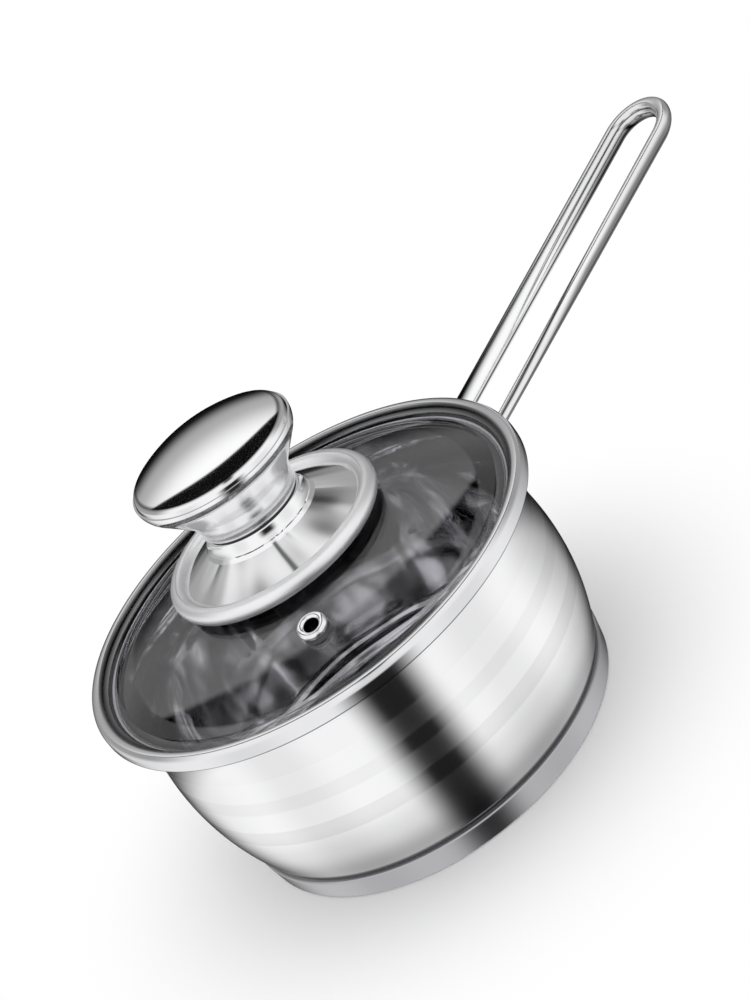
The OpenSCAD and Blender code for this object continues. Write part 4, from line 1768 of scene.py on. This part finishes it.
@dataclass(frozen=True)
class MirroredStudio:
    """The white studio with dark flags that metal and glass mirror, by direction.

    It is laid out by the slope of the mirror that shows each direction from the studio's front, so that
    upright walls, flared sheets and flat tops each have their own part of it. That slope has a turn round
    the object, 0 at the front, and a lift, 90 on a flat top, both in degrees. A side fade also has the
    amount that the right side adds to it.
    """

    azimuth: float
    elevation: float
    strip_turn: float = -1.1
    strip_edge: Fade = Fade(3.4, 12.6)
    strip_slims: Fade = Fade(16.0, 50.0, 0.5)
    strip_dark: float = 0.985
    strip_fades: Fade = Fade(12.0, 26.0, 0.8)
    strip_returns: Fade = Fade(52.0, 60.0, 0.66)
    middle_turn: float = -5.0
    right_side: Fade = Fade(-30.0, 10.0)
    side_fades: tuple[tuple[Fade, float], ...] = (
        (Fade(44.0, 66.0, 0.18), 0.24),
        (Fade(60.0, 84.0, 0.18), 0.24),
        (Fade(80.0, 90.0, 0.04), 0.1),
    )
    ripple_turn: float = 30.0
    ripple_edge: Fade = Fade(2.0, 13.0)
    ripple_loss: float = 0.13
    under_fade: Fade = Fade(42.0, 60.0, 0.86)
    under_from: Fade = Fade(24.0, 38.0)
    flared_fade: Fade = Fade(40.0, 60.0, 0.62)
    flared_rear: Fade = Fade(94.0, 118.0, 0.34)
    flared_from: Fade = Fade(20.0, 44.0)
    top_from: Fade = Fade(63.4, 63.75)
    top_droop: float = 0.0175
    top_rear: float = 0.02
    top_middle: Fade = Fade(-0.24, 0.02, 0.43)
    top_front: Fade = Fade(0.0, 0.30, 0.65)
    crescent: Fade = Fade(0.336, 0.350)
    rear_fade: Fade = Fade(0.22, 0.80, 0.92)
    rear_level: float = 0.08
    darkest: float = 0.004
    least_square: float = 0.0004

    def level(self, shader: Shader, x: Sock, y: Sock, z: Sock) -> Sock:
        """Brightness in a direction.

        Args:
            shader: the world's shader.
            x: the direction along X.
            y: the direction along Y.
            z: the direction upward.

        Returns:
            Brightness, where 1 is white.
        """
        az, el = math.radians(self.azimuth), math.radians(self.elevation)
        front, rise = math.cos(el), math.sin(el)
        toward = x * math.cos(az) + y * math.sin(az)
        side = y * math.cos(az) - x * math.sin(az)
        length = ((toward * front + z * rise) * 2 + 2).most(self.least_square) ** 0.5
        lean_t, lean_s, lean_z = (toward + front) / length, side / length, (z + rise) / length
        degrees = math.degrees(1.0)
        turn = shader.node("ShaderNodeMath", {"operation": "ARCTAN2"}, {0: lean_s, 1: lean_t}) * degrees
        lift = shader.node("ShaderNodeMath", {"operation": "ARCSINE"}, {0: lean_z}) * degrees
        top = self.top_from.of(lift + abs(turn) * self.top_droop)
        low = self._sides(turn, lift) * (1 - self._strip(turn, lift))
        mixed = low * (1 - top) + self._tops(lean_t, lean_s) * top
        return (mixed * (self.rear_fade.of(length) + self.rear_level)).most(self.darkest)

    def _strip(self, turn: Sock, lift: Sock) -> Sock:
        """The upright dark flag at the front.

        Args:
            turn: turn of the mirror.
            lift: lift of the mirror.

        Returns:
            Loss of brightness, from 0 to 1.
        """
        slim = 1 - self.strip_slims.of(lift)
        strip = 1 - self.strip_edge.of(abs(turn - self.strip_turn) / slim)
        return strip * (self.strip_dark - self.strip_fades.of(lift) + self.strip_returns.of(lift))

    def _sides(self, turn: Sock, lift: Sock) -> Sock:
        """What upright walls, flared sheets and undersides mirror.

        Args:
            turn: turn of the mirror.
            lift: lift of the mirror.

        Returns:
            Brightness, without the flag at the front.
        """
        swing = abs(turn - self.middle_turn)
        right = self.right_side.of(turn)
        wall: Sock | float = 1.0
        for fade, more in self.side_fades:
            wall = wall - swing.step(fade.start, fade.end) * (right * more + fade.amount)
        ripple = 1 - (1 - self.ripple_edge.of(abs(swing - self.ripple_turn))) * self.ripple_loss
        under = 1 - self.under_fade.of(swing)
        flared = 1 - self.flared_fade.of(swing) - self.flared_rear.of(swing)
        low = wall * ripple
        low = low + (under - low) * self.under_from.of(lift * -1)
        return low + (flared - low) * self.flared_from.of(lift)

    def _tops(self, ahead: Sock, across: Sock) -> Sock:
        """What flat tops mirror: brighter toward the front, with a dark crescent before it.

        Args:
            ahead: lean of the mirror toward the front.
            across: lean of the mirror to the side.

        Returns:
            The brightness.
        """
        high = self.top_rear + self.top_middle.of(ahead) + self.top_front.of(ahead)
        return high * (1 - self.crescent.of(ahead + across * across))


@dataclass
class Studio:
    """Floor, light and camera, with lengths in millimetres unless a name ends in px."""

    focal_px: float = 2689.0
    frame_px: tuple[int, int] = (750, 1000)
    target_px: Point = (299.1, 569.0)
    distance: float = 892.4
    azimuth: float = -109.0
    elevation: float = 27.05
    roll: float = 37.84
    sensor: float = 36.0
    clip_near: float = 10.0
    clip_far: float = 50000.0
    floor_half: float = 12000.0
    floor_drop: float = 0.1
    floor_white: float = 0.985
    shadow_ends: Point = (80.0, 155.0)

    def camera(self, crest_z: float) -> bpy.types.Object:
        """Place the camera so that the centre of the lid's crest falls on its pixel.

        Args:
            crest_z: height of the crest of the rim band, in millimetres.

        Returns:
            The camera.
        """
        az, el, roll = (math.radians(v) for v in (self.azimuth, self.elevation, self.roll))
        outward = Vector((math.cos(el) * math.cos(az), math.cos(el) * math.sin(az), math.sin(el)))
        offset = outward * self.distance
        ahead = -offset.normalized()
        right = ahead.cross(Vector((0.0, 0.0, 1.0))).normalized()
        up = right.cross(ahead)
        rolled_right = right * math.cos(roll) - up * math.sin(roll)
        rolled_up = right * math.sin(roll) + up * math.cos(roll)
        wide, high = self.frame_px
        aim_x = (self.target_px[0] - wide / 2) / self.focal_px
        aim_y = -(self.target_px[1] - high / 2) / self.focal_px
        aim = Vector((aim_x, aim_y, 1.0)).normalized()
        axis = Vector((0.0, 0.0, 1.0)).cross(aim)
        shift = Matrix.Rotation(math.atan2(axis.length, aim.z), 3, axis.normalized())
        rows = shift @ Matrix((rolled_right, rolled_up, ahead))
        turn = Matrix((rows[0], rows[1], -rows[2])).transposed()
        data = bpy.data.cameras.new("photo_camera")
        data.sensor_width = self.sensor
        data.sensor_fit = "AUTO"
        data.lens = self.focal_px / max(self.frame_px) * self.sensor
        data.clip_start = self.clip_near * MM
        data.clip_end = self.clip_far * MM
        made = bpy.data.objects.new("photo_camera", data)
        bpy.context.scene.collection.objects.link(made)
        spot = (offset + Vector((0.0, 0.0, crest_z))) * MM
        made.matrix_world = Matrix.Translation(spot) @ turn.to_4x4()
        bpy.context.scene.camera = made
        return made

    def floor(self) -> bpy.types.Object:
        """Lay a wide white floor at the foot of the pan.

        Returns:
            The floor.
        """
        half = self.floor_half * MM
        corners = [(-half, -half, 0), (half, -half, 0), (half, half, 0), (-half, half, 0)]
        mesh = bpy.data.meshes.new("floor")
        mesh.from_pydata(corners, [], [(0, 1, 2, 3)])
        made = bpy.data.objects.new("floor", mesh)
        bpy.context.scene.collection.objects.link(made)
        material, shader = new_material("floor_white")
        x, y, _ = shader.place()
        start, end = (value * MM for value in self.shadow_ends)
        far = ((x * x + y * y) ** 0.5).step(start, end)
        seen = shader.node("ShaderNodeLightPath", output="Is Camera Ray")
        colour = (self.floor_white, self.floor_white, self.floor_white, 1.0)
        matt = shader.node("ShaderNodeBsdfDiffuse", None, {"Color": colour})
        glow = {"Color": (1.0, 1.0, 1.0, 1.0), "Strength": 1.0}
        white = shader.node("ShaderNodeEmission", None, glow)
        both = shader.node("ShaderNodeMixShader", None, {0: far * seen, 1: matt, 2: white})
        shader.node("ShaderNodeOutputMaterial", None, {"Surface": both})
        mesh.materials.append(material)
        made.location.z = -self.floor_drop * MM
        made.visible_glossy = False
        made.visible_transmission = False
        return made

    def world(self) -> None:
        """Light the object plainly, and give metal and glass the studio that they mirror."""
        world = bpy.data.worlds.new("studio")
        bpy.context.scene.world = world
        world.use_nodes = True
        shader = Shader(world.node_tree)
        x, y, z = shader.split(shader.node("ShaderNodeTexCoord", output="Generated"))
        glow = MirroredStudio(self.azimuth, self.elevation).level(shader, x, y, z)
        seen = shader.node("ShaderNodeLightPath", output="Is Camera Ray")
        glossy = shader.node("ShaderNodeLightPath", output="Is Glossy Ray")
        through = shader.node("ShaderNodeLightPath", output="Is Transmission Ray")
        mirror = glossy.most(through) * (1 - seen)
        values = {"Color": (1.0, 1.0, 1.0, 1.0), "Strength": mirror * glow + (1 - mirror)}
        light = shader.node("ShaderNodeBackground", None, values)
        shader.node("ShaderNodeOutputWorld", None, {"Surface": light})
        bpy.context.scene.view_settings.view_transform = "Standard"


def main() -> None:
    """Build the saucepan's pieces in order, then the studio."""
    logging.basicConfig(level=logging.INFO, format="%(name)s: %(message)s")
    maker = MeshMaker()
    finishes = Finishes()
    body = PanBody()
    lid = GlassLid(body.lip_cx, body.lip_top_z, body.lip_bead_r)
    vent = SteamVent()
    body.build(maker, finishes)
    LoopHandle().build(maker, finishes, body, lid)
    lid.build(maker, finishes, vent)
    vent.build(maker, finishes, lid)
    Knob(lid.top_z).build(maker, finishes)
    studio = Studio()
    studio.floor()
    studio.world()
    studio.camera(lid.crest_z)


if __name__ == "__main__":
    main()
